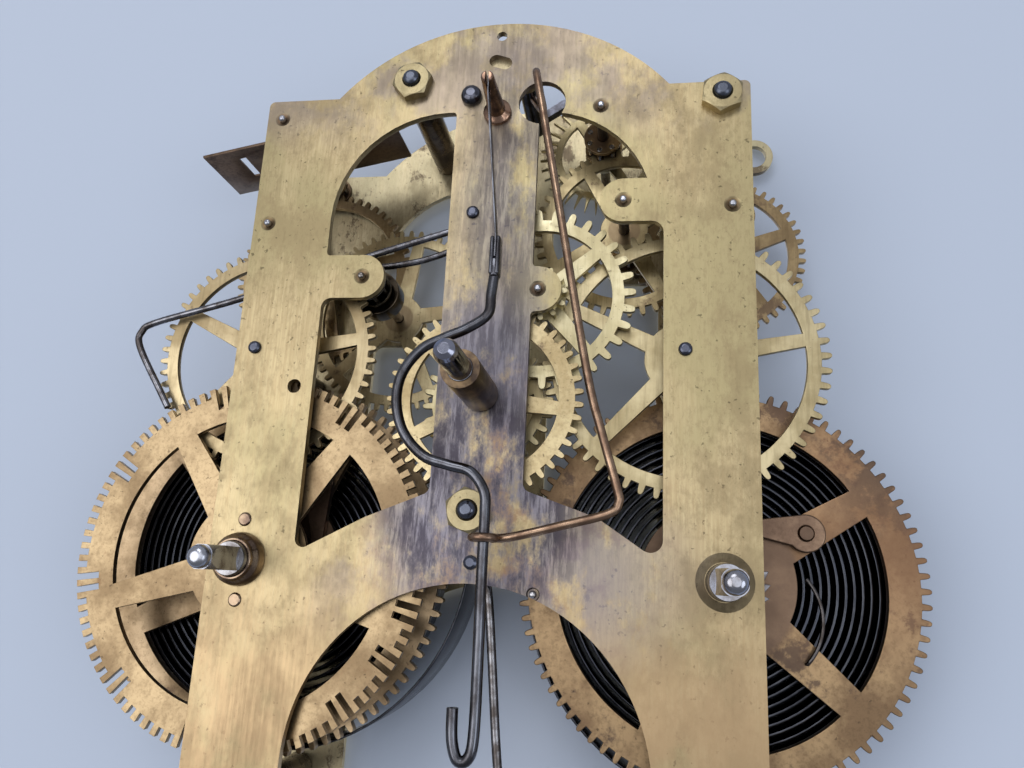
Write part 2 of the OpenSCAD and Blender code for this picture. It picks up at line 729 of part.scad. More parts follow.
// The crutch wire, from the verge's hub out of the plate and down to the rod
crutch_y = -rod_out;
loop_z = -27;
rod_x = 3.9;
loop_half = rod_r + crutch_r + 0.3;
module crutch() {
    hub = verge_p + (crutch_hole_p - verge_p) * (verge_hub_r - 0.2) / norm(crutch_hole_p - verge_p);
    top = [[hub[0], 6, hub[1]], [8.3, 4.9, 63.8], [9.2, 2.6, 62.3], [9.2, -3, 62.2],
        [9.2, crutch_y + 2, 62.1]];
    down = [[9.6, crutch_y, 60], [14.6, crutch_y, 33.4], [20.5, crutch_y, 2],
        [23.2, crutch_y, -8.4], [26, crutch_y, -18]];
    bend = [[26.3, crutch_y, -20.4], [24.6, crutch_y, -22.3], [16.6, crutch_y, -24.6],
        [9, crutch_y, -26.6]];
    ring = [for (a = [40:-40:-280])
        [rod_x + loop_half * cos(a), crutch_y + loop_half * sin(a), loop_z]];
    color("sienna") wire(route(concat(top, down, bend, ring), 2), crutch_r);
}

// The thin suspension ribbon, held in the post's slit and in the rod's clamp
clamp_top = 27.4;
clamp_h = 7;
module suspension_spring() {
    h = ribbon_t / 2;
    color("slategray")
    flat(-rod_out - ribbon_w / 2, ribbon_w)
        polygon([[-h, post_p[1] + 1.2], [-h, post_p[1] - 2], [clamp_x - h, clamp_top],
            [clamp_x - h, clamp_top - 4], [clamp_x + h, clamp_top - 4],
            [clamp_x + h, clamp_top], [h, post_p[1] - 2], [h, post_p[1] + 1.2]]);
}

// The pendulum rod, bent round the centre arbor, with a hook for the bob
clamp_x = 3.2;
module pendulum_rod() {
    h = ribbon_t / 2 + fixed_fit;
    y = -rod_out;
    low = clamp_top - clamp_h;
    path = [[clamp_x, y, low], [2.8, y, 16.5], [2.4, y, 12.6], [-1.3, y, 9.9], [-5.2, y, 8.2],
        [-9.4, y, 6], [-12.6, y, 1.6], [-13.3, y, -3.6], [-11.6, y, -9.2], [-7.6, y, -13.4],
        [-3, y, -14.9], [1, y, -16], [3.5, y, -19.2], [rod_x, y, -23], [rod_x, y, -31],
        [4.1, y, -46], [4.1, y, -58], [3.3, y, -61.4], [1.6, y, -61.6], [0.6, y, -58.6],
        [0.4, y, -54]];
    color("dimgray") {
        translate([clamp_x - 0.9, y - 1.5, low]) difference() {
            cube([1.8, 3, clamp_h]);
            translate([0.9 - h, 1.5 - ribbon_w / 2 - fixed_fit, clamp_h - 4.1])
                cube([2 * h, ribbon_w + 2 * fixed_fit, 5]);
        }
        wire(route(path, 2), rod_r);
    }
}

// The fly: a sheet blade on a tube, with a slot near one end
fly_tilt = 11.6;
module fly() {
    color("saddlebrown")
    on(s5) rotate([0, -fly_tilt, 0]) difference() {
        union() {
            translate([-fly_half, y_fly, -0.3]) cube([2 * fly_half, fly_w, 0.6]);
            flat(y_fly, fly_w) circle(r = arbor_r + 0.7);
        }
        flat(y_fly - 1, fly_w + 2) circle(r = arbor_r + fixed_fit);
        translate([-fly_half + 7, y_fly + 3.4, -1]) cube([1.6, 8, 2]);
    }
}

// The black locking collar and the brass collar on the locking arbor
module locking_arbor() {
    on(s3) {
        arbor(arbor_r, pivot_r);
        pins(leaf_z, strike_m2, ph_s3p, lantern_s3[0], lantern_s3[1]);
        color("black") flat(lock_y - 1.6, 4.6) difference() {
            circle(r = 4.9);
            translate([-1.2, 3.4]) square([2.4, 3]);
            circle(r = arbor_r + fixed_fit);
        }
        color("goldenrod") flat(lock_y + 3.6, 3) difference() {
            circle(r = 2.9);
            circle(r = arbor_r + fixed_fit);
        }
    }
}

// Depths at which each lantern pinion starts and ends
lantern_t2 = [y_great - 1.8, y_great + great_t + 1.8];
lantern_t3 = [y_t2 - 2, y_t2 + wheel_t + 2];
lantern_t4 = [y_t3 - 2.2, y_t3 + wheel_t + 2.2];
lantern_t5 = [y_t4 - 2.2, y_t4 + wheel_t + 2.2];
lantern_s3 = [y_s2 - 1.9, y_s2 + wheel_t + 1.9];
lantern_s4 = [y_s3 - 2.2, y_s3 + wheel_t + 2.2];
lantern_s5 = [y_s4 - 1.8, y_s4 + wheel_t + 1.7];

// Levers of the strike
module lever_arbor() {
    on(lever_p) arbor(arbor2_r, big_pivot_r);
}
module count_lever() {
    // The tip hangs just outside the count wheel
    tip = s1 + polar(count_r + lever_r + 0.6, 126.2);
    path = [[lever_p[0] - 1.1, lever_y, lever_p[1]], [lever_p[0] - 2.5, lever_y, lever_p[1] - 1.3],
        [lever_p[0] - 5.7, lever_y, lever_p[1] - 2.7], [s3[0], lever_y, s3[1] + 5.62],
        [s3[0] - 26.9, lever_y, s3[1] - 3.38], [tip[0] - 5, lever_y, tip[1] + 18.5],
        [tip[0] - 8.6, lever_y, tip[1] + 16.3], [tip[0] - 8.4, lever_y, tip[1] + 12.7],
        [tip[0] - 2, lever_y, tip[1] + 3], [tip[0], lever_y, tip[1]]];
    color("gray") wire(route(path, 2), lever_r);
}
module locking_lever() {
    path = [[lever_p[0] - 1.1, lock_y, lever_p[1]], [lever_p[0] - 5.1, lock_y, lever_p[1] - 2.7],
        [s3[0] + 10, lock_y, s3[1] + 8.1], [s3[0] + 4, lock_y, s3[1] + 6.9],
        [s3[0] + 0.36, lock_y, s3[1] + 6.5]];
    color("gray") wire(route(path, 2), lever_r);
}

// The hammer: its arbor, the wire that hangs from it and the head
module hammer() {
    head = [6.4, hammer_y, -74];
    path = [[hammer_p[0], hammer_y, hammer_p[1] - 1], [1.4, hammer_y, -34],
        [2.6, hammer_y, -38], [5.2, hammer_y, -62], [head[0], hammer_y, head[2] + 3.4]];
    on(hammer_p) arbor(arbor2_r, big_pivot_r);
    color("gray") wire(route(path, 2), hammer_wire_r);
    color("goldenrod") translate(head)
        rotate([0, 90, 0]) translate([0, 0, -5]) cylinder(r = 3.6, h = 10);
}

// Each module below puts one turning piece on its axis
module second_wheel() {
    on(t2) train_wheel(wheel_z, time_m2, ph_t2, y_t2, 2.6, 7.4, 5, 10, arbor2_r + fixed_fit);
}
arbor2_r = 1.6;
module on_lantern(p, z, m, phase, span, shaft) {
    on(p) lantern(z, m, phase, span[0], span[1], shaft);
}
module on_arbor(p, z, m, phase, span, shaft, pivot) {
    on(p) {
        arbor(shaft, pivot);
        pins(z, m, phase, span[0], span[1]);
    }
}

module centre_arbor() {
    color("lightslategray")
    turned([[0.9, -centre_out], [1.7, -centre_out + 0.6], [hand_r, -centre_out + 1.8],
        [hand_r, -pipe_out - 0.2], [centre_r, -pipe_out - 0.2],
        [centre_r, back_y - end_play], [centre_pivot_r, back_y - end_play],
        [centre_pivot_r, rear_y + 0.6], [centre_pivot_r - 0.3, rear_y + 0.9]]);
}
module centre_wheel() {
    train_wheel(centre_z, time_m2, ph_centre, y_t2, 2, 4.6, 4, 20, centre_r + fixed_fit);
}
module cannon_pinion() {
    color("goldenrod")
    flat(y_minute - 0.4, wheel_t + 0.8) difference() {
        teeth(cannon_z, motion_m1, ph_cannon);
        circle(r = centre_r + fixed_fit);
    }
}
module minute_wheel() {
    on(minute_p) {
        train_wheel(minute_z, motion_m1, ph_minute, y_minute, 2.4, 5, 4, 40, arbor_r + fixed_fit);
        color("goldenrod")
        flat(y_hour - 0.4, y_minute - y_hour + 0.4) difference() {
            teeth(minute_leaf_z, motion_m2, ph_leaf);
            circle(r = arbor_r + fixed_fit);
        }
    }
}
module hour_wheel() {
    color("goldenrod") {
        flat(y_hour, wheel_t) difference() {
            teeth(hour_z, motion_m2, ph_hour);
            crossings(hour_z * motion_m2 / 2 - 4, 6, 5, 3, 65);
            circle(r = centre_r + run_fit);
        }
        // The pipe is thinner where it turns in the plate
        flat(-pipe_out, pipe_out - pipe_step) difference() {
            circle(r = pipe_r);
            circle(r = centre_r + run_fit);
        }
        flat(-pipe_step, pipe_step + y_hour) difference() {
            circle(r = pipe_in_r);
            circle(r = centre_r + run_fit);
        }
    }
}

// All nodes are moved from the front plate's face to the origin behind the movement
translate([0, -rear_y, 0]) {
    front_plate();
    back_plate();
    pillars();
    pillar_nuts();
    suspension_post();
    winding_boss();
    verge_bridge();
    bridge_rivet();
    verge_stud();
    on(t1) great_wheel(time_m1, ph_t1, 31, 31);  // time_great_wheel
    on(t1) ratchet(1);  // time_ratchet
    on(t1) click(31, 1);  // time_click
    on(t1) click_spring(31, 1);  // time_click_spring
    on(t1) winding_arbor(time_winder_out);  // time_winding_arbor
    mainspring(t1, pillars_at[4], 1);  // time_mainspring
    second_wheel();
    on_lantern(t2, lead_z, time_m1, ph_t2p, lantern_t2, arbor2_r);  // second_pinion
    on_arbor(t2, lead_z, time_m1, ph_t2p, lantern_t2, arbor2_r, big_pivot_r);  // second_arbor
    on(t3) train_wheel(third_z, time_m3, ph_t3, y_t3, 2.2, 5, 5, 20, arbor_r + fixed_fit);  // third_wheel
    on_lantern(t3, low_z, time_m2, ph_t3p, lantern_t3, arbor_r);  // third_pinion
    on_arbor(t3, low_z, time_m2, ph_t3p, lantern_t3, arbor_r, pivot_r);  // third_arbor
    on(t4) train_wheel(fourth_z, time_m4, ph_t4, y_t4, 2.2, 5, 4, 30, arbor_r + fixed_fit);  // fourth_wheel
    on_lantern(t4, low_z, time_m3, ph_t4p, lantern_t4, arbor_r);  // fourth_pinion
    on_arbor(t4, low_z, time_m3, ph_t4p, lantern_t4, arbor_r, pivot_r);  // fourth_arbor
    escape_wheel();
    on_lantern(t5, leaf_z, time_m4, ph_t5p, lantern_t5, arbor_r);  // escape_pinion
    on_arbor(t5, leaf_z, time_m4, ph_t5p, lantern_t5, arbor_r, pivot_r);  // escape_arbor
    centre_arbor();
    centre_wheel();
    cannon_pinion();
    minute_wheel();
    on(minute_p) arbor(arbor_r, pivot_r);  // minute_arbor
    hour_wheel();
    verge();
    crutch();
    suspension_spring();
    pendulum_rod();
    on(s1) great_wheel(strike_m1, ph_s1, 62, 62);  // strike_great_wheel
    count_wheel();
    on(s1) ratchet(-1);  // strike_ratchet
    on(s1) click(62, -1);  // strike_click
    on(s1) click_spring(62, -1);  // strike_click_spring
    on(s1) winding_arbor(strike_winder_out);  // strike_winding_arbor
    mainspring(s1, middle_pillar, 1);  // strike_mainspring
    on(s2) train_wheel(wheel_z, strike_m2, ph_s2, y_s2, 2.4, 6.4, 5, 10, arbor2_r + fixed_fit);  // strike_second_wheel
    on_lantern(s2, lead_z, strike_m1, ph_s2p, lantern_t2, arbor2_r);  // strike_second_pinion
    on_arbor(s2, lead_z, strike_m1, ph_s2p, lantern_t2, arbor2_r, big_pivot_r);  // strike_second_arbor
    on(s3) train_wheel(wheel_z, strike_m3, ph_s3, y_s3, 2.2, 5.6, 5, 8, arbor_r + fixed_fit);  // locking_wheel
    on_lantern(s3, leaf_z, strike_m2, ph_s3p, lantern_s3, arbor_r);  // locking_pinion
    locking_arbor();
    on(s4) train_wheel(wheel_z, strike_m4, ph_s4, y_s4, 2.2, 5.2, 4, 15, arbor_r + fixed_fit);  // warning_wheel
    on_lantern(s4, low_z, strike_m3, ph_s4p, lantern_s4, arbor_r);  // warning_pinion
    on_arbor(s4, low_z, strike_m3, ph_s4p, lantern_s4, arbor_r, pivot_r);  // warning_arbor
    fly();
    on_lantern(s5, leaf_z, strike_m4, ph_s5p, lantern_s5, arbor_r);  // fly_pinion
    on_arbor(s5, leaf_z, strike_m4, ph_s5p, lantern_s5, arbor_r, pivot_r);  // fly_arbor
    lever_arbor();
    count_lever();
    locking_lever();
    hammer();
}
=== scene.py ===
import json
import math

import bmesh
import bpy
from mathutils import Matrix, Vector

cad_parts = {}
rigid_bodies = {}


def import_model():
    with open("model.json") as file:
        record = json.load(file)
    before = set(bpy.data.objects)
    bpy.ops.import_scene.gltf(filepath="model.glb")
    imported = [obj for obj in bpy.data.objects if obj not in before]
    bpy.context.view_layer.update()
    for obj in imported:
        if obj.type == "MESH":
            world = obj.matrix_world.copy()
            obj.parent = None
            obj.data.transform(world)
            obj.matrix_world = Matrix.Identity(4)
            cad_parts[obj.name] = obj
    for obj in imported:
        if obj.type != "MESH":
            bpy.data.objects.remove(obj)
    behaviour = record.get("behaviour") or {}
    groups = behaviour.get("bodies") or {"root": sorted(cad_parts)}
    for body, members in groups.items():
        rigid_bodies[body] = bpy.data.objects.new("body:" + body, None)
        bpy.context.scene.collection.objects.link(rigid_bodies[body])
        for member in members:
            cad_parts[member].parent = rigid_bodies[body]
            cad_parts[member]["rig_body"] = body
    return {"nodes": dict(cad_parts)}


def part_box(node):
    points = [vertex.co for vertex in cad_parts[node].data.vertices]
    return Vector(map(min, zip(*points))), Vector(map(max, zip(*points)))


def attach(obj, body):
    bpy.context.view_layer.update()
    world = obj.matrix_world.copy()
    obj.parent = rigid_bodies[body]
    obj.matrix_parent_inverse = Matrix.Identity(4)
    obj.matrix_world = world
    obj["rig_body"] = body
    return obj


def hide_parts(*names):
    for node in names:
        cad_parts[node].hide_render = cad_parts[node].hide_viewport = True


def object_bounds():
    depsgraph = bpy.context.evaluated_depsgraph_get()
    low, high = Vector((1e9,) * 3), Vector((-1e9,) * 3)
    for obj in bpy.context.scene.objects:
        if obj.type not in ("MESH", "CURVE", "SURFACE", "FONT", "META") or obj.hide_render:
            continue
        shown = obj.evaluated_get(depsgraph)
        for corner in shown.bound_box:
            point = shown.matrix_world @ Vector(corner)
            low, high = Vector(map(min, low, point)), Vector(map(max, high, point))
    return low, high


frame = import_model()
cad_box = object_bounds()
nodes = frame["nodes"]

# Camera: a hand-held picture from close in front, below the middle and a little to the right.
# Its place and lens are those that put the plates' edges where the photograph has them.


def add_object(name, data):
    added = bpy.data.objects.new(name, data)
    bpy.context.scene.collection.objects.link(added)
    return added


camera_data = bpy.data.cameras.new("photo_camera")
camera = add_object("photo_camera", camera_data)
camera_right = Vector((0.987868, 0.147568, 0.048372))
camera_down = Vector((0.010988, 0.244287, -0.969641))
camera_ahead = Vector((-0.154905, 0.958409, 0.239702))
camera_turn = Matrix((camera_right, -camera_down, -camera_ahead)).transposed().to_4x4()
camera.matrix_world = Matrix.Translation((0.028787, -0.177057, -0.033349)) @ camera_turn
camera_data.sensor_width = 36
camera_data.lens = 27.598
camera_data.clip_start = 0.005
bpy.context.scene.camera = camera

# Floor and light: the movement lies on its back on a plain pale floor, which shows from the
# front only, so that its back can be looked at. Four soft round lamps stand in front, the
# strongest at the left, and two stand behind.
bpy.context.scene.view_settings.view_transform = "Standard"
floor_gap = 0.0006
floor_y = cad_box[1].y + floor_gap
floor_half = 4.0
floor_mesh = bpy.data.meshes.new("floor")
floor_mesh.from_pydata([(-floor_half, floor_y, -floor_half), (floor_half, floor_y, -floor_half),
                        (floor_half, floor_y, floor_half), (-floor_half, floor_y, floor_half)],
                       [], [(0, 1, 2, 3)])
floor = add_object("floor", floor_mesh)
floor_finish = bpy.data.materials.new("floor_finish")
floor_finish.use_nodes = True
floor_shader = floor_finish.node_tree.nodes["Principled BSDF"]
floor_shader.inputs["Base Color"].default_value = (0.42, 0.48, 0.60, 1)
floor_shader.inputs["Roughness"].default_value = 0.9
floor_tree = floor_finish.node_tree
open_side = floor_tree.nodes.new("ShaderNodeBsdfTransparent")
floor_side = floor_tree.nodes.new("ShaderNodeNewGeometry")
floor_rays = floor_tree.nodes.new("ShaderNodeLightPath")
either = floor_tree.nodes.new("ShaderNodeMath")
either.operation = "MAXIMUM"
floor_choice = floor_tree.nodes.new("ShaderNodeMixShader")
for source, target in ((floor_side.outputs["Backfacing"], either.inputs[0]),
                       (floor_rays.outputs["Is Shadow Ray"], either.inputs[1]),
                       (either.outputs[0], floor_choice.inputs[0]),
                       (floor_shader.outputs[0], floor_choice.inputs[1]),
                       (open_side.outputs[0], floor_choice.inputs[2]),
                       (floor_choice.outputs[0], floor_tree.nodes["Material Output"].inputs["Surface"])):
    floor_tree.links.new(source, target)
floor_mesh.materials.append(floor_finish)

room = bpy.data.worlds.new("room")
bpy.context.scene.world = room
room.use_nodes = True
sky = room.node_tree
pale = sky.nodes["Background"]
pale.inputs["Strength"].default_value = 0.62
way = sky.nodes.new("ShaderNodeTexCoord")
heights = sky.nodes.new("ShaderNodeSeparateXYZ")
fade = sky.nodes.new("ShaderNodeValToRGB")
greys = ((0.15, (0.42, 0.43, 0.46)), (0.82, (0.84, 0.87, 0.92)))
for stop, (position, grey) in zip(fade.color_ramp.elements, greys):
    stop.position = position
    stop.color = (*grey, 1)
half_up = sky.nodes.new("ShaderNodeMath")
half_up.operation = "MULTIPLY_ADD"
half_up.inputs[1].default_value = 0.5
half_up.inputs[2].default_value = 0.5
sky.links.new(way.outputs["Generated"], heights.inputs[0])
sky.links.new(heights.outputs["Z"], half_up.inputs[0])
sky.links.new(half_up.outputs[0], fade.inputs["Fac"])
sky.links.new(fade.outputs["Color"], pale.inputs["Color"])


def hang_lamp(name, place, size, watts, colour):
    data = bpy.data.lights.new(name, "AREA")
    data.shape = "DISK"
    data.size = size
    data.energy = watts
    data.color = colour
    lamp = add_object(name, data)
    lamp.location = place
    lamp.rotation_mode = "QUATERNION"
    lamp.rotation_quaternion = (-Vector(place)).to_track_quat("-Z", "Y")


hang_lamp("window_lamp", (-0.62, -1.00, -0.07), 0.90, 5.6, (1.0, 0.98, 0.95))
hang_lamp("front_lamp", (0.14, -1.20, 0.06), 0.85, 2.4, (1.0, 0.99, 0.97))
hang_lamp("top_lamp", (-0.16, -1.00, 0.72), 0.60, 3.0, (1.0, 0.99, 0.97))
hang_lamp("side_lamp", (0.85, -0.90, -0.20), 0.7, 3.0, (0.92, 0.96, 1.0))
hang_lamp("rear_lamp", (-0.35, 1.15, 0.30), 1.0, 16.0, (1.0, 0.98, 0.95))
hang_lamp("rear_side_lamp", (0.80, 0.85, 0.10), 0.8, 6.0, (0.95, 0.97, 1.0))

# Front plate: rolled brass sheet, stamped out and brushed from top to bottom, with a shallow
# oil sink round each pivot. It is old and dry, olive in patches, and oil has stained the foot
# of its column and the arms beside it purple, brown and black.


def shader_of(made):
    return made.node_tree.nodes["Principled BSDF"]


def new_finish(name, roughness):
    made = bpy.data.materials.new(name)
    made.use_nodes = True
    shader_of(made).inputs["Metallic"].default_value = 1.0
    shader_of(made).inputs["Roughness"].default_value = roughness
    return made


def place_on(made, stretch=(1, 1, 1), shift=(0, 0, 0)):
    tree = made.node_tree
    where = tree.nodes.new("ShaderNodeTexCoord")
    mapping = tree.nodes.new("ShaderNodeMapping")
    mapping.inputs["Scale"].default_value = stretch
    mapping.inputs["Location"].default_value = shift
    tree.links.new(where.outputs["Object"], mapping.inputs["Vector"])
    return mapping.outputs["Vector"]


def grain(made, per_metre, detail=3.0, stretch=(1, 1, 1), shift=(0, 0, 0), rough=0.55):
    tree = made.node_tree
    cloud = tree.nodes.new("ShaderNodeTexNoise")
    cloud.inputs["Scale"].default_value = per_metre
    cloud.inputs["Detail"].default_value = detail
    cloud.inputs["Roughness"].default_value = rough
    tree.links.new(place_on(made, stretch, shift), cloud.inputs["Vector"])
    return cloud.outputs["Fac"]


def between(value, low, high, to_low=0.0, to_high=1.0):
    span = value.id_data.nodes.new("ShaderNodeMapRange")
    span.interpolation_type = "SMOOTHSTEP"
    for socket, number in (("From Min", low), ("From Max", high), ("To Min", to_low), ("To Max", to_high)):
        span.inputs[socket].default_value = number
    value.id_data.links.new(value, span.inputs["Value"])
    return span.outputs["Result"]


def fill(socket, value):
    """Gives a node's socket a number, a colour or another node's output."""
    if isinstance(value, (int, float)):
        socket.default_value = value
    elif isinstance(value, tuple):
        socket.default_value = (*value, 1)
    else:
        socket.id_data.links.new(value, socket)


def combine(first, second, how="MULTIPLY"):
    joined = first.id_data.nodes.new("ShaderNodeMath")
    joined.operation = how
    joined.use_clamp = True
    fill(joined.inputs[0], first)
    fill(joined.inputs[1], second)
    return joined.outputs[0]


def tint(share, under, over):
    mix = share.id_data.nodes.new("ShaderNodeMix")
    mix.data_type = "RGBA"
    fill(mix.inputs[0], share)
    fill(mix.inputs[6], under)
    fill(mix.inputs[7], over)
    return mix.outputs[2]


def near(made, place, reach, soft, stretch=(1, 1)):
    """1 within reach of a line along Y through an x and z, 0 past it."""
    tree = made.node_tree
    apart = tree.nodes.new("ShaderNodeVectorMath")
    apart.operation = "DISTANCE"
    tree.links.new(place_on(made, (stretch[0], 0, stretch[1])), apart.inputs[0])
    apart.inputs[1].default_value = (place[0] * stretch[0], 0, place[1] * stretch[1])
    return between(apart.outputs["Value"], reach + soft, reach - soft)


def along(made, axis, start, end):
    """0 where the place along an axis is at start, 1 where it is at end."""
    tree = made.node_tree
    split = tree.nodes.new("ShaderNodeSeparateXYZ")
    tree.links.new(place_on(made), split.inputs[0])
    if start > end:
        return between(split.outputs[axis], end, start, 1.0, 0.0)
    return between(split.outputs[axis], start, end)


def raise_grain(made, *heights):
    """Bumps, each a pattern and its height in metres, laid one on another."""
    tree = made.node_tree
    under = None
    for height, metres in heights:
        bump = tree.nodes.new("ShaderNodeBump")
        bump.inputs["Strength"].default_value = 0.5
        bump.inputs["Distance"].default_value = metres
        tree.links.new(height, bump.inputs["Height"])
        if under:
            tree.links.new(under, bump.inputs["Normal"])
        under = bump.outputs["Normal"]
    tree.links.new(under, shader_of(made).inputs["Normal"])


def give(made, socket, value):
    fill(shader_of(made).inputs[socket], value)


def paint(made, share, over, strength=1.0):
    """Lays one more colour over a finish's own."""
    below = shader_of(made).inputs["Base Color"].links[0].from_socket
    share = share if strength == 1.0 else combine(share, strength)
    give(made, "Base Color", tint(share, below, over))


def brushed_brass(name, light, dark, olive, stain, stained, seed, brush=(1, 1, 0.05)):
    made = new_finish(name, 0.38)
    shift = (seed, 0, seed * 0.37)
    streaks = grain(made, 2300, 4, brush, shift, 0.62)
    patina = grain(made, 1300, 4, (1, 1, 0.5), shift, 0.7)
    clouds = grain(made, 30, 4, (1, 1, 0.7), shift, 0.60)
    patches = grain(made, 70, 8, (1, 1, 0.75), (seed, 0.4, 0), 0.70)
    blots = grain(made, 130, 7, (1, 1, 0.7), (0, seed, 0.2), 0.74)
    specks = grain(made, 900, 2, (1, 1, 1), shift)
    edge = 0.70 - 0.20 * stained
    give(made, "Base Color", tint(between(streaks, 0.28, 0.74), dark, light))
    paint(made, between(clouds, 0.42, 0.60, 0, 0.75), olive)
    paint(made, between(patches, 0.47, 0.60, 0, 0.62), tuple(c * 0.80 for c in dark))
    paint(made, between(patina, 0.46, 0.66, 0, 0.45), tuple(c * 0.70 for c in dark))
    paint(made, between(blots, edge, edge + 0.08, 0, 0.85), stain)
    paint(made, between(specks, 0.66, 0.74, 0, 0.6), tuple(c * 0.35 for c in stain))
    give(made, "Roughness", combine(between(patches, 0.35, 0.65, 0.0, 0.14),
                                    between(streaks, 0.3, 0.7, 0.30, 0.42), "ADD"))
    raise_grain(made, (clouds, 0.00012), (streaks, 0.00002))
    return made


def mesh_of(name, shape):
    """A bmesh as a mesh of its own."""
    mesh = bpy.data.meshes.new(name)
    shape.to_mesh(mesh)
    shape.free()
    return mesh


def loose_copy(node, corners=()):
    """A CAD node's mesh, merged and with its flat faces whole, without the node's own normals.

    Upright edges at the given corners, each x, z and radius, are rounded."""
    shape = bmesh.new()
    shape.from_mesh(nodes[node].data)
    bmesh.ops.remove_doubles(shape, verts=shape.verts, dist=2e-6)
    bmesh.ops.dissolve_limit(shape, angle_limit=math.radians(0.6), verts=shape.verts, edges=shape.edges)
    for x, z, radius in corners:
        upright = [e for e in shape.edges
                   if all(math.hypot(v.co.x - x, v.co.z - z) < 0.0003 for v in e.verts)
                   and abs(e.verts[0].co.y - e.verts[1].co.y) > 0.001]
        if upright:
            bmesh.ops.bevel(shape, geom=upright, offset=radius, offset_type="OFFSET", segments=8,
                            profile=0.5, affect="EDGES", clamp_overlap=True)
    mesh = mesh_of(node + "_dressed", shape)
    if "custom_normal" in mesh.attributes:
        mesh.attributes.remove(mesh.attributes["custom_normal"])
    return add_object(node + "_dressed", mesh)


def settle(piece):
    """Turns what the modifiers show into the piece's own mesh."""
    bpy.context.view_layer.update()
    shown = piece.evaluated_get(bpy.context.evaluated_depsgraph_get())
    mesh = bpy.data.meshes.new_from_object(shown)
    piece.modifiers.clear()
    piece.data = mesh


def put_on(piece, material, node, stands_for=True):
    """Gives a finished piece its material and slot, and the body and place of a CAD node."""
    piece.data.materials.clear()
    piece.data.materials.append(material)
    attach(piece, nodes[node]["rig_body"])
    if stands_for:
        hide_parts(node)


def dressed(node, material, edge, steps=2, angle=32, sinks=None, corners=(), turned=None):
    """A copy of a CAD node with its edges broken, as a file or a tumbling barrel leaves them.

    What stands outside the turned form, if one is given, is cut away, as on a lathe."""
    piece = loose_copy(node, corners)
    for how, other in (("INTERSECT", turned), ("DIFFERENCE", sinks)):
        if other:
            cutter = add_object("cutter", other)
            cut = piece.modifiers.new("cut", "BOOLEAN")
            cut.operation = how
            cut.solver = "EXACT"
            cut.object = cutter
            settle(piece)
            bpy.data.objects.remove(cutter)
    broken = piece.modifiers.new("edge", "BEVEL")
    broken.width = edge
    broken.segments = steps
    broken.limit_method = "ANGLE"
    broken.angle_limit = math.radians(angle)
    settle(piece)
    piece.data.set_sharp_from_angle(angle=math.radians(46))
    for face in piece.data.polygons:
        face.use_smooth = abs(face.normal.y) < 0.999
    put_on(piece, material, node)


def axis_of(node):
    """Where a turned node's front end is, as x and z."""
    corners = [v.co for v in nodes[node].data.vertices]
    front = min(c.y for c in corners)
    ring = [c for c in corners if c.y < front + 0.00002]
    return (sum(c.x for c in ring) / len(ring), sum(c.z for c in ring) / len(ring))


def skin(shape, rows, closed):
    """Faces through rows of points that each run round. An open skin is capped at both ends."""
    rings = [[shape.verts.new(point) for point in row] for row in rows]
    for low, high in zip(rings, rings[1:] + (rings[:1] if closed else [])):
        for k in range(len(low)):
            shape.faces.new((low[k - 1], low[k], high[k], high[k - 1]))
    if not closed:
        for ring in (rings[0], rings[-1]):
            middle = shape.verts.new(sum((corner.co for corner in ring), Vector()) / len(ring))
            for k in range(len(ring)):
                shape.faces.new((middle, ring[k - 1], ring[k]))
    bmesh.ops.recalc_face_normals(shape, faces=shape.faces)


def lathe(name, profile, sides, place, closed=False):
    """A solid turned about the Y axis through a place, from radius and y pairs."""
    turns = [2 * math.pi * k / sides for k in range(sides)]
    shape = bmesh.new()
    skin(shape, [[(place[0] + radius * math.cos(t), y, place[1] + radius * math.sin(t)) for t in turns]
                 for radius, y in profile], closed)
    return mesh_of(name, shape)


def sink_cutter(face_y, outwards, places, dishes=(), deep=0.00042, wide=0.00165):
    """Lens-shaped cutters, one for each pivot hole, that go into a plate's outer face."""
    ball = (wide * wide + deep * deep) / (2 * deep)
    lens = []
    for step in range(6):
        radius = wide * 1.15 * (1 - step / 5.5)
        lens.append((radius, outwards * (ball - deep - math.sqrt(ball * ball - radius * radius))))
    lens.insert(0, (lens[0][0], outwards * 0.001))
    cutters = bmesh.new()
    for place, profile, sides in [(place, lens, 40) for place in places] + [(*dish, 64) for dish in dishes]:
        turned = lathe("cutter", [(radius, face_y + y) for radius, y in profile], sides, place)
        cutters.from_mesh(turned)
        bpy.data.meshes.remove(turned)
    return mesh_of("cutters", cutters)


small_pivots = [axis_of(name + "_arbor") for name in
                ("third", "fourth", "escape", "minute", "locking", "warning", "fly")]
time_axis = axis_of("time_winding_arbor")
strike_axis = axis_of("strike_winding_arbor")


def round_any(made, places, reach, soft):
    """1 within reach of any of the places."""
    share = None
    for place in places:
        one = near(made, place, reach, soft)
        share = combine(share, one, "MAXIMUM") if share else one
    return share


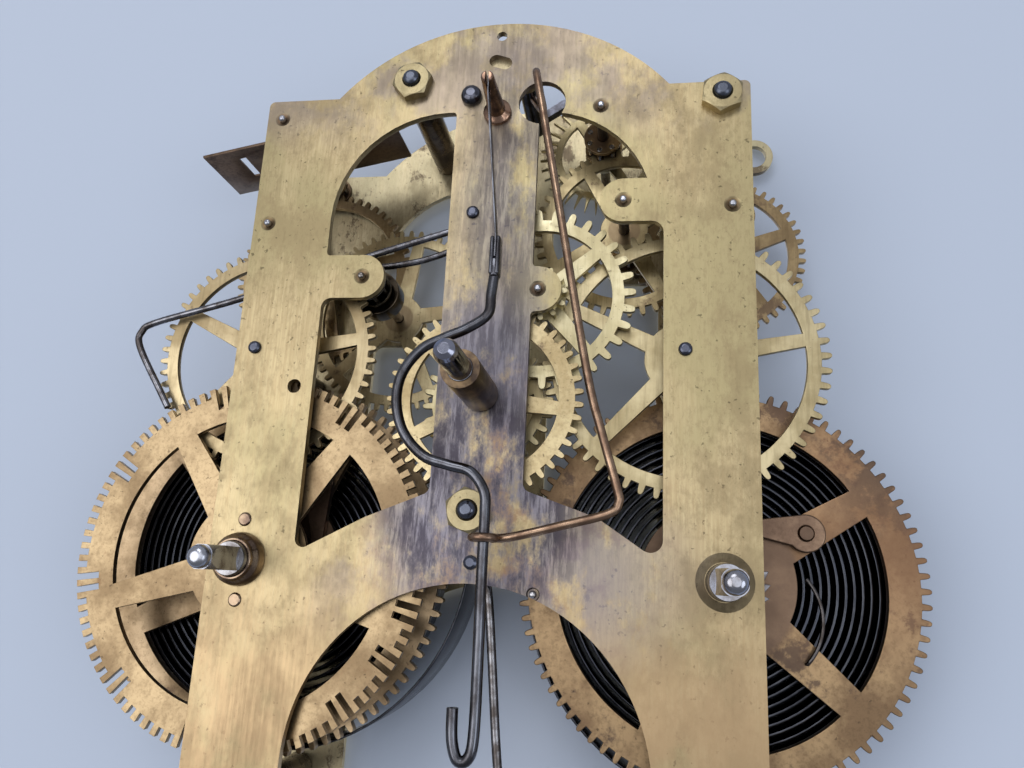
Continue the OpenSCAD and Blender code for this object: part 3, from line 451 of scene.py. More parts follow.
plate_finish = brushed_brass("plate_finish", (0.470, 0.385, 0.232), (0.325, 0.255, 0.147),
                             (0.295, 0.255, 0.140), (0.130, 0.100, 0.066), 0.30, 0.0)
smears = grain(plate_finish, 90, 8, (1, 1, 0.55), (0.3, 0, 0.1), 0.72)
veils = grain(plate_finish, 60, 7, (1, 1, 0.8), (0.6, 0, 0.9), 0.68)
rusty = grain(plate_finish, 120, 7, (1, 1, 1), (0.7, 0, 0.2), 0.68)
worn = grain(plate_finish, 600, 7, (1, 1, 0.12), (0.1, 0, 0.4), 0.74)
foot = near(plate_finish, (0.001, -0.021), 0.0175, 0.007, (1, 0.80))
waist = near(plate_finish, (0.000, 0.003), 0.0125, 0.007, (1, 0.60))
right_arm = near(plate_finish, (0.017, -0.032), 0.013, 0.010, (0.8, 1))
left_arm = near(plate_finish, (-0.016, -0.032), 0.010, 0.009, (0.8, 1))
neck = near(plate_finish, (0.003, 0.040), 0.009, 0.007, (1, 0.32))
crown = along(plate_finish, "Z", 0.050, 0.066)
rust_place = near(plate_finish, (0.006, -0.022), 0.022, 0.012, (0.9, 0.8))
low_legs = combine(along(plate_finish, "Z", -0.022, -0.062), between(veils, 0.30, 0.58))
mild = combine(combine(crown, left_arm, "MAXIMUM"), between(veils, 0.44, 0.58))
purple = combine(combine(waist, combine(right_arm, 0.70), "MAXIMUM"),
                 combine(foot, combine(neck, 0.6), "MAXIMUM"), "MAXIMUM")
dark_share = combine(foot, combine(combine(neck, waist, "MAXIMUM"), 0.55), "MAXIMUM")
sooty = combine(between(smears, 0.36, 0.54), between(worn, 0.40, 0.54))
paint(plate_finish, low_legs, (0.370, 0.255, 0.150), 0.75)
paint(plate_finish, combine(rust_place, between(rusty, 0.47, 0.60)), (0.205, 0.118, 0.080), 0.7)
paint(plate_finish, mild, (0.195, 0.165, 0.160), 0.62)
paint(plate_finish, combine(purple, between(smears, 0.35, 0.50)), (0.145, 0.145, 0.195), 0.86)
paint(plate_finish, combine(combine(dark_share, 1.25), sooty), (0.036, 0.032, 0.044), 0.85)
# Painted shade: a dark brown ring round each small pivot, inside its oil sink, where the pivot goes into its
# hole.
paint(plate_finish, round_any(plate_finish, small_pivots, 0.00140, 0.00030), (0.110, 0.066, 0.040), 0.75)

plate_low, plate_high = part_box("front_plate")
front_y = plate_low.y
shoulder = 0.0652
outer_corners = [(plate_low.x, shoulder, 0.0012), (plate_high.x, shoulder, 0.0012)]
dish_profile = ((0.0051, -0.001), (0.0050, 0.0), (0.0045, 0.00035), (0.0034, 0.0009))
pin_place = (0.0114, -0.0360)
notch_profile = ((0.0012, -0.001), (0.0012, 0.0), (0.0010, 0.0006))
front_sinks = sink_cutter(front_y, -1, small_pivots, [(time_axis, dish_profile), (pin_place, notch_profile)])
dressed("front_plate", plate_finish, 0.00014, 3, sinks=front_sinks, corners=outer_corners)

# Stop pin: a short bright steel pin with a domed end. It is driven into the front plate, in a
# small notch at the foot arch's edge.
pin_finish = new_finish("pin_finish", 0.2)
pin_wear = grain(pin_finish, 900, 3)
give(pin_finish, "Base Color", tint(between(pin_wear, 0.40, 0.62), (0.42, 0.42, 0.45), (0.24, 0.22, 0.22)))
give(pin_finish, "Roughness", between(pin_wear, 0.35, 0.65, 0.16, 0.30))
pin_profile = [(0.0002, front_y - 0.00105), (0.00045, front_y - 0.00098), (0.0006, front_y - 0.00080),
               (0.00066, front_y - 0.0005), (0.00066, front_y + 0.0012)]
pin_mesh = lathe("stop_pin", pin_profile, 32, pin_place)
pin_mesh.set_sharp_from_angle(angle=math.radians(50))
put_on(add_object("stop_pin", pin_mesh), pin_finish, "front_plate", False)

# Back plate: the same stamped sheet brass with four ears, duller and more stained than the front. Its brass
# is painted lighter than the front's, as painted light for the shade it lies in behind the front plate. It
# has the same oil sinks, in its rear face.
back_finish = brushed_brass("back_finish", (0.53, 0.46, 0.31), (0.38, 0.32, 0.205),
                            (0.300, 0.270, 0.175), (0.100, 0.074, 0.052), 0.80, 0.5, (1, 1, 0.10))
back_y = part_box("back_plate")[1].y
back_sinks = sink_cutter(back_y, 1, small_pivots)
dressed("back_plate", back_finish, 0.00014, 3, sinks=back_sinks, corners=outer_corners)

# Pillars and nuts: turned brass posts riveted in the back plate, gone brown. Their threaded
# ends are dark and polished, and hold six-sided brass nuts with chamfered corners.


def mottled(name, roughness, light, dark, per_metre, seed, low=0.36, high=0.64, stretch=(1, 1, 1)):
    made = new_finish(name, roughness)
    clouds = grain(made, per_metre, 5, stretch, (seed, 0.3, 0.1), 0.64)
    give(made, "Roughness", between(clouds, 0.35, 0.65, roughness * 0.75, roughness * 1.35))
    give(made, "Base Color", tint(between(clouds, low, high), light, dark))
    return made


old_finish = mottled("old_finish", 0.26, (0.150, 0.110, 0.075), (0.055, 0.042, 0.036), 170, 0.2)
paint(old_finish, along(old_finish, "Y", front_y + 0.0001, front_y - 0.0001), (0.085, 0.095, 0.125))
dressed("pillars", old_finish, 0.0002, 2, 25)
nut_finish = brushed_brass("nut_finish", (0.46, 0.39, 0.235), (0.33, 0.27, 0.155), (0.26, 0.225, 0.135),
                           (0.12, 0.088, 0.060), 0.50, 0.8, (1, 1, 1))
pillar_places = [(-0.0186, 0.068), (0.0452, 0.0618), (-0.001, -0.0218), (-0.042, -0.075), (0.042, -0.075)]
nut_flat = 0.00375
nut_bore = 0.00172
nut_thick = 0.0020
nut_turns = (12, 24, 40, 8, 20)


def chamfered_nuts(cone, sides=96):
    """Six-sided nuts whose corners a cone has cut, all of them in one mesh."""
    shape = bmesh.new()
    for place, turn in zip(pillar_places, nut_turns):
        rows = [[] for _ in range(6)]
        for k in range(sides):
            around = 2 * math.pi * k / sides
            corner = nut_flat / math.cos(around % (math.pi / 3) - math.pi / 6)
            chamfer = max(corner - cone, 0) * 0.62
            angle = math.radians(turn) + around
            section = ((nut_bore, 0.0003 - nut_thick), (nut_bore + 0.0003, -nut_thick), (cone, -nut_thick),
                       (corner, chamfer - nut_thick), (corner, 0), (nut_bore, 0))
            for row, (radius, y) in zip(rows, section):
                row.append((place[0] + radius * math.cos(angle), front_y + y,
                            place[1] + radius * math.sin(angle)))
        skin(shape, rows, True)
    return mesh_of("nuts", shape)


nuts_mesh = chamfered_nuts(nut_flat - 0.0001)
nuts_mesh.set_sharp_from_angle(angle=math.radians(22))
put_on(add_object("nuts", nuts_mesh), nut_finish, "pillar_nuts")

# Suspension post, and winding boss with its two rivets: turned pieces of copper-coloured brass
# that has darkened unevenly, riveted in the front plate.
copper_finish = mottled("copper_finish", 0.28, (0.33, 0.205, 0.145), (0.105, 0.065, 0.052), 240, 0.4)
dressed("suspension_post", copper_finish, 0.0001, 2, 40)
boss_finish = mottled("boss_finish", 0.20, (0.29, 0.215, 0.150), (0.120, 0.082, 0.064), 260, 0.9)
dressed("winding_boss", boss_finish, 0.00015, 2, 40)

# Verge bridge: a brass strip behind the front plate, with its ball-headed steel rivet and
# the steel stud on which the verge turns.
steel_finish = mottled("steel_finish", 0.24, (0.23, 0.235, 0.27), (0.075, 0.068, 0.072), 300, 0.6)
# The bridge takes the back plate's brass, painted lighter as painted light for the shade behind the front
# plate.
dressed("verge_bridge", back_finish, 0.0001)
ball_finish = mottled("ball_finish", 0.20, (0.090, 0.096, 0.125), (0.045, 0.044, 0.052), 300, 0.6)
dressed("bridge_rivet", ball_finish, 0.0002, 3, 20)
dressed("verge_stud", steel_finish, 0.0001)

# Great wheels: thick brass wheels with five broad arms. The time side's is reddish brown with
# dark oil stains at the upper right; the strike side's is cleaner. Hubs are dark copper brown.


def wheel_brass(name, light, dark, stain, stained, seed, stretch=(1, 1, 1)):
    made = new_finish(name, 0.36)
    fine = grain(made, 1300, 4, stretch, (seed, 0, 0), 0.68)
    clouds = grain(made, 70, 7, (1, 1, 1), (seed, 0.2, 0), 0.68)
    blots = grain(made, 110, 7, (1, 1, 1), (0, 0.5, seed), 0.73)
    pits = grain(made, 1100, 2, (1, 1, 1), (0, seed, 0.3))
    edge = 0.66 - 0.18 * stained
    give(made, "Base Color", tint(between(clouds, 0.38, 0.62), light, dark))
    paint(made, between(fine, 0.44, 0.68, 0, 0.45), tuple(c * 0.62 for c in dark))
    paint(made, between(blots, edge, edge + 0.09, 0, 0.85), stain)
    paint(made, between(pits, 0.68, 0.74, 0, 0.6), (0.05, 0.035, 0.025))
    give(made, "Roughness", between(clouds, 0.35, 0.65, 0.28, 0.46))
    raise_grain(made, (clouds, 0.00004), (fine, 0.000015))
    return made


time_great_finish = wheel_brass("time_great_finish", (0.290, 0.202, 0.115), (0.175, 0.115, 0.068),
                                (0.075, 0.052, 0.042), 0.75, 0.3)
smudges = grain(time_great_finish, 160, 5, (1, 1, 1), (0.4, 0.4, 0), 0.66)
oil_stain = combine(near(time_great_finish, (0.078, -0.002), 0.016, 0.012), between(smudges, 0.42, 0.54))
paint(time_great_finish, near(time_great_finish, (0.076, -0.018), 0.022, 0.014), (0.200, 0.112, 0.066), 0.65)
paint(time_great_finish, oil_stain, (0.060, 0.045, 0.040), 0.85)
strike_great_finish = wheel_brass("strike_great_finish", (0.305, 0.228, 0.145), (0.215, 0.152, 0.090),
                                  (0.095, 0.062, 0.045), 0.50, 0.8)
click_reach = 0.0186
for finish, axis, click_turn in ((time_great_finish, time_axis, 31), (strike_great_finish, strike_axis, 62)):
    click_pin = (axis[0] + click_reach * math.cos(math.radians(click_turn)),
                 axis[1] + click_reach * math.sin(math.radians(click_turn)))
    paint(finish, near(finish, axis, 0.0150, 0.0008), (0.125, 0.084, 0.062), 0.85)
    paint(finish, near(finish, click_pin, 0.0013, 0.0002), (0.085, 0.060, 0.048), 0.8)
dressed("time_great_wheel", time_great_finish, 0.00012)
dressed("strike_great_wheel", strike_great_finish, 0.00012)

# Count wheel: thin brass sheet with slots of two depths cut in its rim, which count the
# strokes. It is fixed to the strike side's great wheel.
count_finish = wheel_brass("count_finish", (0.315, 0.238, 0.142), (0.222, 0.156, 0.090),
                           (0.17, 0.105, 0.06), 0.30, 1.4)
dressed("count_wheel", count_finish, 0.00008)

# Ratchets and clicks: hardened steel ratchets and dark copper-brown clicks, each held by a
# rivet, on the front of each great wheel.
click_finish = wheel_brass("click_finish", (0.235, 0.160, 0.110), (0.145, 0.095, 0.068),
                           (0.06, 0.042, 0.036), 0.4, 2.1)
for side in ("time", "strike"):
    dressed(side + "_ratchet", steel_finish, 0.0001)
    dressed(side + "_click", click_finish, 0.0003, 3)

# Click springs: dark round wire let into a spoke, which bends back to press on the click.
# Every wire of the movement is drawn round and smooth, and cut off square at its ends.


def wire_maker():
    tree = bpy.data.node_groups.new("drawn_wire", "GeometryNodeTree")
    tree.interface.new_socket("Path", in_out="INPUT", socket_type="NodeSocketGeometry")
    tree.interface.new_socket("Wire radius", in_out="INPUT", socket_type="NodeSocketFloat")
    tree.interface.new_socket("Sides", in_out="INPUT", socket_type="NodeSocketInt")
    tree.interface.new_socket("Finish", in_out="INPUT", socket_type="NodeSocketMaterial")
    tree.interface.new_socket("Wire", in_out="OUTPUT", socket_type="NodeSocketGeometry")
    given = tree.nodes.new("NodeGroupInput")
    made = tree.nodes.new("NodeGroupOutput")
    path = tree.nodes.new("GeometryNodeMeshToCurve")
    round_profile = tree.nodes.new("GeometryNodeCurvePrimitiveCircle")
    sweep = tree.nodes.new("GeometryNodeCurveToMesh")
    sweep.inputs["Fill Caps"].default_value = True
    real = tree.nodes.new("GeometryNodeRealizeInstances")
    finish = tree.nodes.new("GeometryNodeSetMaterial")
    for a, b in ((given.outputs["Path"], path.inputs["Mesh"]),
                 (given.outputs["Wire radius"], round_profile.inputs["Radius"]),
                 (given.outputs["Sides"], round_profile.inputs["Resolution"]),
                 (path.outputs["Curve"], sweep.inputs["Curve"]),
                 (round_profile.outputs["Curve"], sweep.inputs["Profile Curve"]),
                 (sweep.outputs["Mesh"], real.inputs[0]), (real.outputs[0], finish.inputs["Geometry"]),
                 (given.outputs["Finish"], finish.inputs["Material"]), (finish.outputs[0], made.inputs[0])):
        tree.links.new(a, b)
    return tree


drawn_wire = wire_maker()


def feed(modifier, **values):
    """Sets a tree's named inputs by their identifiers."""
    for item in modifier.node_group.interface.items_tree:
        key = item.name.lower().replace(" ", "_")
        if item.in_out == "INPUT" and key in values:
            modifier[item.identifier] = values[key]


def bend_smoothly(points, steps=6):
    """More points on the smooth line that runs through the given ones, all in metres."""
    spots = [Vector(p) / 1000 for p in points]
    line = []
    for i in range(len(spots) - 1):
        a, b, c, d = spots[max(i - 1, 0)], spots[i], spots[i + 1], spots[min(i + 2, len(spots) - 1)]
        for k in range(steps):
            u = k / steps
            line.append(b + 0.5 * u * (c - a + u * (2 * a - 5 * b + 4 * c - d + u * (3 * (b - c) + d - a))))
    return line + [spots[-1]]


def draw_wire(name, line, radius, material, sides=20):
    mesh = bpy.data.meshes.new(name)
    mesh.from_pydata(line, [(k, k + 1) for k in range(len(line) - 1)], [])
    piece = add_object(name, mesh)
    shaping = piece.modifiers.new("wire", "NODES")
    shaping.node_group = drawn_wire
    feed(shaping, wire_radius=radius, sides=sides, finish=material)
    settle(piece)
    for face in piece.data.polygons:
        face.use_smooth = len(face.vertices) == 4
    return piece


wire_finish = mottled("wire_finish", 0.26, (0.085, 0.080, 0.082), (0.045, 0.038, 0.036), 420, 0.2)
rivet_to_spoke = 0.0021
wire_lift = 0.00095
curl_start, curl_sweep, curl_steps = 72, 46, 24
for side, axis, click_angle, way_round in (("time", time_axis, 31, 1), ("strike", strike_axis, 62, -1)):
    spring_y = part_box(side + "_great_wheel")[0].y + rivet_to_spoke
    curl = []
    for k in range(curl_steps + 1):
        u = k / curl_steps
        turn = math.radians(click_angle - way_round * curl_start + way_round * curl_sweep * u)
        far = 0.0204 - 0.0046 * u * u
        curl.append((axis[0] + far * math.cos(turn), spring_y - wire_lift - 0.0002 * math.sin(3 * u),
                     axis[1] + far * math.sin(turn)))
    curl.insert(0, (curl[0][0], spring_y, curl[0][2]))
    click_wire = draw_wire(side + "_click_wire", curl, 0.00038, wire_finish)
    put_on(click_wire, wire_finish, side + "_click_spring")

# Winding arbors: polished steel, turned, with square ends for the key and rounded tips. The
# strike side's is darker behind its tip.
polished_finish = mottled("polished_finish", 0.17, (0.30, 0.31, 0.36), (0.17, 0.155, 0.155), 260, 0.8,
                          0.44, 0.70)
square_finish = mottled("square_finish", 0.24, (0.30, 0.305, 0.33), (0.13, 0.115, 0.115), 260, 0.3)
tip_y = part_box("strike_winding_arbor")[0].y
square_tip = along(square_finish, "Y", tip_y + 0.0058, tip_y + 0.0036)
paint(square_finish, square_tip, (0.34, 0.355, 0.41))
for side, finish, slot, place in (("time", polished_finish, "bright_steel", time_axis),
                                  ("strike", square_finish, "dark_steel", strike_axis)):
    low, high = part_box(side + "_winding_arbor")
    rounded_end = [(0.0021, low.y - 0.0002), (0.0022, low.y + 0.0016), (0.00235, low.y + 0.0024),
                   (0.00275, low.y + 0.0040), (0.0029, low.y + 0.0060), (0.0120, low.y + 0.0066),
                   (0.0120, high.y + 0.0002)]
    turned_end = lathe("rounded_end", rounded_end, 64, place)
    dressed(side + "_winding_arbor", finish, 0.0003, 3, turned=turned_end)

# Mainsprings: long strips of blued steel, black with oil, whose front edges are painted a lighter grey as a
# painted highlight.
# Each is wound in one unbroken spiral on its arbor, and its outer end is an eye round a pillar.


def spring_maker():
    """A tree that winds a strip: even turns, then a last one that opens out to its pillar."""
    tree = bpy.data.node_groups.new("wound_strip", "GeometryNodeTree")
    kinds = (("Axis", "Vector"), ("End angle", "Float"), ("Turns", "Float"), ("Steps", "Int"),
             ("Inner radius", "Float"), ("Outer radius", "Float"), ("End radius", "Float"),
             ("Last turn", "Float"), ("Strip width", "Float"), ("Strip thickness", "Float"),
             ("Finish", "Material"))
    tree.interface.new_socket("Start", in_out="INPUT", socket_type="NodeSocketGeometry")
    for name, kind in kinds:
        tree.interface.new_socket(name, in_out="INPUT", socket_type="NodeSocket" + kind)
    tree.interface.new_socket("Spring", in_out="OUTPUT", socket_type="NodeSocketGeometry")
    given = tree.nodes.new("NodeGroupInput").outputs

    def sum_of(how, *values):
        node = tree.nodes.new("ShaderNodeMath")
        node.operation = how
        for socket, value in zip(node.inputs, values):
            fill(socket, value)
        return node.outputs[0]

    line = tree.nodes.new("GeometryNodeMeshLine")
    tree.links.new(sum_of("ADD", given["Steps"], 1), line.inputs["Count"])
    index = tree.nodes.new("GeometryNodeInputIndex").outputs[0]
    total = sum_of("ADD", given["Turns"], given["Last turn"])
    turned = sum_of("MULTIPLY", sum_of("DIVIDE", index, given["Steps"]), total)
    past_even = sum_of("MAXIMUM", sum_of("SUBTRACT", turned, given["Turns"]), 0.0)
    last = sum_of("DIVIDE", past_even, given["Last turn"])
    even = sum_of("DIVIDE", sum_of("MINIMUM", turned, given["Turns"]), given["Turns"])
    wound = sum_of("MULTIPLY", even, sum_of("SUBTRACT", given["Outer radius"], given["Inner radius"]))
    opened = sum_of("MULTIPLY", sum_of("MULTIPLY", last, last),
                    sum_of("SUBTRACT", given["End radius"], given["Outer radius"]))
    angle = sum_of("SUBTRACT", given["End angle"],
                   sum_of("MULTIPLY", sum_of("SUBTRACT", total, turned), 2 * math.pi))
    far = sum_of("ADD", given["Inner radius"], sum_of("ADD", wound, opened))
    spot = tree.nodes.new("ShaderNodeCombineXYZ")
    tree.links.new(sum_of("MULTIPLY", far, sum_of("COSINE", angle)), spot.inputs["X"])
    tree.links.new(sum_of("MULTIPLY", far, sum_of("SINE", angle)), spot.inputs["Z"])
    moved = tree.nodes.new("ShaderNodeVectorMath")
    tree.links.new(spot.outputs[0], moved.inputs[0])
    tree.links.new(given["Axis"], moved.inputs[1])
    lay = tree.nodes.new("GeometryNodeSetPosition")
    tree.links.new(line.outputs[0], lay.inputs["Geometry"])
    tree.links.new(moved.outputs[0], lay.inputs["Position"])
    path = tree.nodes.new("GeometryNodeMeshToCurve")
    tree.links.new(lay.outputs[0], path.inputs["Mesh"])
    strip = tree.nodes.new("GeometryNodeCurvePrimitiveQuadrilateral")
    tree.links.new(given["Strip width"], strip.inputs["Width"])
    tree.links.new(given["Strip thickness"], strip.inputs["Height"])
    soft = tree.nodes.new("GeometryNodeFilletCurve")
    soft.mode = "POLY"
    soft.inputs["Count"].default_value = 2
    tree.links.new(strip.outputs[0], soft.inputs["Curve"])
    tree.links.new(sum_of("MULTIPLY", given["Strip thickness"], 0.3), soft.inputs["Radius"])
    sweep = tree.nodes.new("GeometryNodeCurveToMesh")
    sweep.inputs["Fill Caps"].default_value = True
    tree.links.new(path.outputs[0], sweep.inputs["Curve"])
    tree.links.new(soft.outputs[0], sweep.inputs["Profile Curve"])
    real = tree.nodes.new("GeometryNodeRealizeInstances")
    tree.links.new(sweep.outputs[0], real.inputs[0])
    finish = tree.nodes.new("GeometryNodeSetMaterial")
    tree.links.new(real.outputs[0], finish.inputs["Geometry"])
    tree.links.new(given["Finish"], finish.inputs["Material"])
    tree.links.new(finish.outputs[0], tree.nodes.new("NodeGroupOutput").inputs[0])
    return tree


spring_finish = mottled("spring_finish", 0.22, (0.014, 0.015, 0.019), (0.048, 0.053, 0.070), 60, 0.1,
                        0.42, 0.62)
spring_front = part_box("time_mainspring")[0].y
spring_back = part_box("time_mainspring")[1].y
# Painted highlight: the front edge of each strip, and the eye's front face, painted lighter grey and broken
# up by noise.
painted_edge_sheen = along(spring_finish, "Y", spring_front + 0.00012, spring_front + 0.00002)
sheen_breakup = grain(spring_finish, 220, 3, (1, 0, 1), (0.5, 0, 0.1))
painted_edge_sheen = combine(painted_edge_sheen, between(sheen_breakup, 0.35, 0.65, 0.25, 1.0))
paint(spring_finish, painted_edge_sheen, (0.052, 0.055, 0.066))
wound_strip = spring_maker()
strip_t = 0.0005
pillar_r = 0.0031
eye_play = 0.0002
eye_r = pillar_r + eye_play
for side, axis, post in (("time", time_axis, pillar_places[4]), ("strike", strike_axis, pillar_places[2])):
    reach = math.hypot(post[0] - axis[0], post[1] - axis[1])
    start = bpy.data.meshes.new(side + "_strip")
    start.from_pydata([(0, 0, 0)], [], [])
    spring = add_object(side + "_strip", start)
    winding = spring.modifiers.new("winding", "NODES")
    winding.node_group = wound_strip
    feed(winding, axis=(axis[0], (spring_front + spring_back) / 2, axis[1]),
         end_angle=math.atan2(post[1] - axis[1], post[0] - axis[0]), turns=18.0, steps=1500,
         inner_radius=0.0056, outer_radius=0.033, end_radius=reach - eye_r - strip_t / 2,
         last_turn=0.75, strip_width=spring_back - spring_front, strip_thickness=strip_t,
         finish=spring_finish)
    settle(spring)
    spring.data.set_sharp_from_angle(angle=math.radians(40))
    put_on(spring, spring_finish, side + "_mainspring")
    section = ((eye_r, spring_front), (eye_r + strip_t, spring_front), (eye_r + strip_t, spring_back),
               (eye_r, spring_back))
    eye = lathe(side + "_eye", section, 64, post, closed=True)
    for face in eye.polygons:
        face.use_smooth = abs(face.normal.y) < 0.9
    put_on(add_object(side + "_eye", eye), spring_finish, side + "_mainspring", False)

# Train wheels: thin yellow brass, each on the brass ends of its pinion. Those near the front
# are pale and clean, and those behind have darkened.
train = {
    "second": ((0.44, 0.375, 0.235), (0.32, 0.262, 0.150), 0.40),
    "third": ((0.30, 0.225, 0.125), (0.175, 0.125, 0.070), 0.70),
    "fourth": ((0.38, 0.315, 0.185), (0.255, 0.200, 0.110), 0.45),
    "escape": ((0.44, 0.38, 0.23), (0.32, 0.265, 0.15), 0.30),
    "centre": ((0.44, 0.385, 0.24), (0.32, 0.262, 0.15), 0.35),
    "minute": ((0.53, 0.48, 0.32), (0.42, 0.365, 0.22), 0.15),
    "strike_second": ((0.42, 0.345, 0.215), (0.30, 0.232, 0.132), 0.38),
    "locking": ((0.44, 0.372, 0.228), (0.305, 0.24, 0.138), 0.42),
    "warning": ((0.33, 0.25, 0.14), (0.20, 0.145, 0.082), 0.60),
}
for count, (wheel, (light, dark, stains)) in enumerate(train.items()):
    finish = wheel_brass(wheel + "_wheel_finish", light, dark, (0.105, 0.072, 0.050), stains,
                         3.1 + count * 0.7, (1, 1, 0.08))
    middle = axis_of(wheel + "_arbor") if wheel + "_arbor" in nodes else (0, 0)
    paint(finish, near(finish, middle, 0.0034, 0.0003), (0.16, 0.11, 0.07), 0.7)
    dressed(wheel + "_wheel", finish, 0.00010)
    if wheel == "minute":
        dressed("cannon_pinion", finish, 0.00008)

# Hour wheel: a brass wheel with a long pipe for the hour hand, which has gone dark brown in
# front of the plate.


def in_front(made):
    """1 in front of the front plate, 0 behind its face."""
    return along(made, "Y", front_y + 0.0002, front_y - 0.0002)


hour_finish = wheel_brass("hour_finish", (0.47, 0.39, 0.235), (0.33, 0.255, 0.14),
                          (0.105, 0.072, 0.050), 0.35, 8.4)
pipe_clouds = grain(hour_finish, 260, 5, (1, 0.5, 1), (0.3, 0.1, 0.7), 0.62)
pipe_colour = tint(between(pipe_clouds, 0.36, 0.62), (0.215, 0.150, 0.088), (0.072, 0.052, 0.042))
paint(hour_finish, in_front(hour_finish), pipe_colour)
dressed("hour_wheel", hour_finish, 0.00012)

# Pinions and arbors: brown brass ends that hold steel pins, on plain turned steel arbors. The
# pivots' ends are rounded and shine in their holes.
pinion_finish = mottled("pinion_finish", 0.34, (0.30, 0.215, 0.115), (0.14, 0.095, 0.062), 200, 1.2)
arbor_finish = mottled("arbor_finish", 0.26, (0.25, 0.24, 0.24), (0.090, 0.076, 0.068), 350, 0.5,
                       stretch=(1, 0.3, 1))
pivot_share = combine(in_front(arbor_finish),
                      along(arbor_finish, "Y", back_y - 0.0002, back_y + 0.0002), "MAXIMUM")
paint(arbor_finish, pivot_share, (0.36, 0.37, 0.42))
axle_finish = mottled("axle_finish", 0.20, (0.17, 0.17, 0.185), (0.065, 0.058, 0.058), 350, 0.9)
paint(axle_finish, in_front(axle_finish), (0.075, 0.082, 0.112))
oiled_finish = mottled("oiled_finish", 0.17, (0.085, 0.072, 0.050), (0.030, 0.027, 0.022), 180, 3.1)
for arbor, steel in (("second", axle_finish), ("third", arbor_finish), ("fourth", arbor_finish),
                     ("escape", arbor_finish), ("strike_second", axle_finish), ("warning", arbor_finish),
                     ("fly", arbor_finish)):
    dressed(arbor + "_arbor", steel, 0.00015, 2, 25)
    dressed(arbor + "_pinion", pinion_finish, 0.00012, 2, 40)
dressed("locking_pinion", oiled_finish, 0.00012, 2, 40)
dressed("minute_arbor", arbor_finish, 0.00015, 2, 25)

# Locking arbor: it carries two round collars, burnished nearly black, of which the front one
# has the notch that the locking lever drops in.
collar_finish = mottled("collar_finish", 0.20, (0.30, 0.29, 0.29), (0.10, 0.085, 0.075), 350, 1.5)
collar_middle = axis_of("locking_arbor")
plain_steel = shader_of(collar_finish).inputs["Base Color"].links[0].from_socket
burnish = between(grain(collar_finish, 180, 4), 0.40, 0.62)
burnished = tint(burnish, (0.030, 0.026, 0.022), (0.080, 0.062, 0.044))
on_axis = near(collar_finish, collar_middle, 0.0014, 0.0001)
give(collar_finish, "Base Color", tint(on_axis, burnished, plain_steel))
dressed("locking_arbor", collar_finish, 0.0003, 3, 25)

# Centre arbor: dark polished steel that comes out of the hour pipe, with a bright rounded end
# that takes the minute hand.
centre_finish = mottled("centre_finish", 0.16, (0.24, 0.25, 0.29), (0.095, 0.090, 0.100), 280, 1.9)
centre_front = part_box("centre_arbor")[0].y
centre_tip = along(centre_finish, "Y", centre_front + 0.0034, centre_front + 0.0022)
paint(centre_finish, centre_tip, (0.25, 0.26, 0.33))
dressed("centre_arbor", centre_finish, 0.0007, 5, 20)

# Verge and crutch: a bent steel strip over the escape wheel, and the copper-brown wire that
# leaves it through the plate's round hole and ends in a loop about the pendulum rod.
dressed("verge", ball_finish, 0.0002, 3)
crutch_finish = mottled("crutch_finish", 0.28, (0.315, 0.215, 0.150), (0.160, 0.100, 0.070), 260, 0.9)


def at_level(level, *spots):
    """Points at one depth, from x and z pairs, in millimetres."""
    return [(x, level, z) for x, z in spots]


verge_stud_r = 0.0009
verge_hub_r = 1.8
stud_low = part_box("verge_stud")[0]
verge_axis = Vector((stud_low.x + verge_stud_r, 0, stud_low.z + verge_stud_r)) * 1000
crutch_hole = (9.2, 62.2)
hub_way = Vector((crutch_hole[0] - verge_axis.x, 0, crutch_hole[1] - verge_axis.z)).normalized() * verge_hub_r
front_mm = front_y * 1000
rod_level = front_mm - 10.0
rod_at_crutch = 3.9
loop_half = 2.0
crutch_line = [(verge_axis.x + hub_way.x, front_mm + 6, verge_axis.z + hub_way.z),
               (8.3, front_mm + 4.9, 63.8), (9.2, front_mm + 2.6, 62.3), (9.2, front_mm - 3, 62.2),
               (9.2, rod_level + 2, 62.1)]
crutch_line += at_level(rod_level, (9.6, 60), (14.6, 33.4), (20.5, 2), (23.2, -8.4), (26, -18), (26.3, -20.4),
                        (24.6, -22.3), (16.6, -24.6), (9, -26.6))
for turn in range(40, -281, -20):
    crutch_line.append((rod_at_crutch + loop_half * math.cos(math.radians(turn)),
                        rod_level + loop_half * math.sin(math.radians(turn)), -27))
put_on(draw_wire("crutch_wire", bend_smoothly(crutch_line), 0.00075, crutch_finish), crutch_finish,
       "crutch")

# Suspension ribbon and pendulum rod: thin spring steel let into the pinched end of a wire,
# which is bent round the centre arbor and has an open hook for the bob.
rod_finish = mottled("rod_finish", 0.22, (0.105, 0.110, 0.130), (0.045, 0.042, 0.046), 300, 0.2,
                     0.38, 0.66, (1, 1, 0.4))
rod_line = at_level(rod_level, (3.2, 20.6), (2.8, 16.5), (2.4, 12.6), (-1.3, 9.9), (-5.2, 8.2), (-9.4, 6),
                    (-12.6, 1.6), (-13.3, -3.6), (-11.6, -9.2), (-7.6, -13.4), (-3, -14.9), (1, -16),
                    (3.5, -19.2), (3.9, -23), (3.9, -31), (4.1, -46), (4.1, -58), (3.3, -61.4),
                    (1.6, -61.6), (0.6, -58.6), (0.4, -54))


